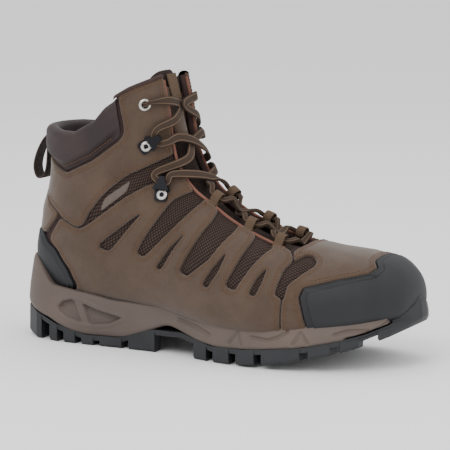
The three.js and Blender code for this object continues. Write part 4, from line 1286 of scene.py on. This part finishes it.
def midsole():
    loop = sole_outline()
    d = np.roll(loop, -1, 0) - np.roll(loop, 1, 0)
    out = np.stack([d[:, 1], -d[:, 0]], -1)
    out /= np.linalg.norm(out, axis=1, keepdims=True)
    if (out * (loop - loop.mean(0))).sum() < 0:
        out = -out
    x = loop[:, 0]
    low, high = smooth_line(OUTSOLE_TOP, x), smooth_line(MIDSOLE_TOP, x)
    f = np.linspace(0, 1, 38)
    inset = np.interp(f, [0, .06, .14, .4, .7, .9, .97, 1], [1.2, -.1, -.6, .2, 1.8, 3.0, 3.7, 5.0])
    rows = []
    for v, i in zip(f, inset):
        z = low - .4 + (high - low + .4) * v
        behind = smooth_step((x - 110) / 3) * smooth_step((bumper_top(x) + .6 - z) / .6)
        push = i + wall_relief(x, z) + BUMPER_SEAT * behind
        rows.append(np.column_stack([loop - out * push[:, None], z]))
    for i, drop in ((7, .2), (10, 1.2), (15, 3), (22, 6)):
        rows.append(np.column_stack([loop - out * i, high - drop]))
    for row in rows:
        row[:, 0] = np.minimum(row[:, 0], MIDSOLE_NOSE)
    pts = world(np.array(rows))
    n = len(loop)
    wall = fix_normals(make("midsole_wall", pts.reshape(-1, 3), grid_faces(len(rows), n, True),
                            FOAM))
    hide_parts("midsole")


def pull_tab():
    """Webbing loop at the heel; it rides its own body."""
    loop = [(-140.2, 143), (-145, 139), (-150, 130), (-152.6, 120), (-150.4, 112.4),
            (-145.4, 112.8), (-142.2, 120), (-141, 133)]
    pts = catmull([[x, 0, z] for x, z in loop], 12, closed=True)
    tang = np.roll(pts, -1, 0) - np.roll(pts, 1, 0)
    nrm = np.cross(tang, [0, 1, 0])
    tab = ribbon("heel_tab", pts, nrm, 12, 1.4, TAB_WEB, body="pull_tab", closed=True, sides=16)
    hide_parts("pull_tab")


def carried_over():
    """CAD pieces whose own shape stays; hidden inner ones get a plain inner finish."""
    looks = {"outsole": TREAD, "shank": STEEL, "insole_board": BINDING, "toe_puff": BINDING,
             "heel_counter": BINDING}
    for obj in bpy.data.objects:
        for node, material in looks.items():
            if obj.name == node:
                obj.data.materials.clear()
                obj.data.materials.append(material)
        if "_hook_" in obj.name and "rivet" not in obj.name:
            obj.data.materials.clear()
            obj.data.materials.append(BLACK)
    bevel(bpy.data.objects["outsole"], .0005, 2, 30)


# ------------------------------------------------------------------ camera, floor and light
def camera():
    turn, tilt, far = math.radians(27), math.radians(9), 1.6
    target = (np.array([0, 0, 80.]) + SHIFT) * MM
    right = Vector((math.cos(turn), math.sin(turn), 0))
    ahead = Vector((-math.sin(turn) * math.cos(tilt), math.cos(turn) * math.cos(tilt),
                    -math.sin(tilt)))
    up = right.cross(ahead)
    data = bpy.data.cameras.new("camera")
    data.lens, data.sensor_width = 183.04, 36
    data.shift_x, data.shift_y = -.0007, .0204
    obj = bpy.data.objects.new("camera", data)
    bpy.context.scene.collection.objects.link(obj)
    basis = Matrix((right, up, -ahead)).transposed().to_4x4()
    obj.matrix_world = Matrix.Translation(Vector(target) - ahead * far) @ basis
    bpy.context.scene.camera = obj
    return right, ahead


def studio(right, ahead):
    floor_look = Look("floor", .9, spec=.1)
    floor_look.color((.93, .93, .93))
    mesh = bpy.data.meshes.new("floor")
    mesh.from_pydata([(-6, -6, 0), (6, -6, 0), (6, 6, 0), (-6, 6, 0)], [], [(0, 1, 2, 3)])
    mesh.materials.append(floor_look.mat)
    floor = bpy.data.objects.new("floor", mesh)
    floor.location.z = -.0002
    bpy.context.scene.collection.objects.link(floor)
    scene_world = bpy.data.worlds.new("studio")
    scene_world.use_nodes = True
    scene_world.node_tree.nodes["Background"].inputs[0].default_value = (1, 1, 1, 1)
    scene_world.node_tree.nodes["Background"].inputs[1].default_value = 1.2
    bpy.context.scene.world = scene_world
    centre = Vector((0, 0, .09))
    for name, side_step, back, high, size, power in (
            ("key", -.6, -1.0, 1.1, .9, 12), ("fill", .9, -.8, .5, 1.0, 4),
            ("top", .1, .3, 1.3, 1.0, 4)):
        light = bpy.data.lights.new(name, "AREA")
        light.size, light.energy = size, power
        obj = bpy.data.objects.new(name, light)
        obj.location = centre + right * side_step + ahead * back + Vector((0, 0, high))
        obj.rotation_euler = (centre - obj.location).to_track_quat("-Z", "Y").to_euler()
        bpy.context.scene.collection.objects.link(obj)


right, ahead = camera()
studio(right, ahead)
upper_panels()
toe_cap()
textile()
collar()
lining()
footbed()
tongue()
label()
lace()
lace_ends()
webbing_loops()
hardware()
piping()
midsole()
pull_tab()
carried_over()
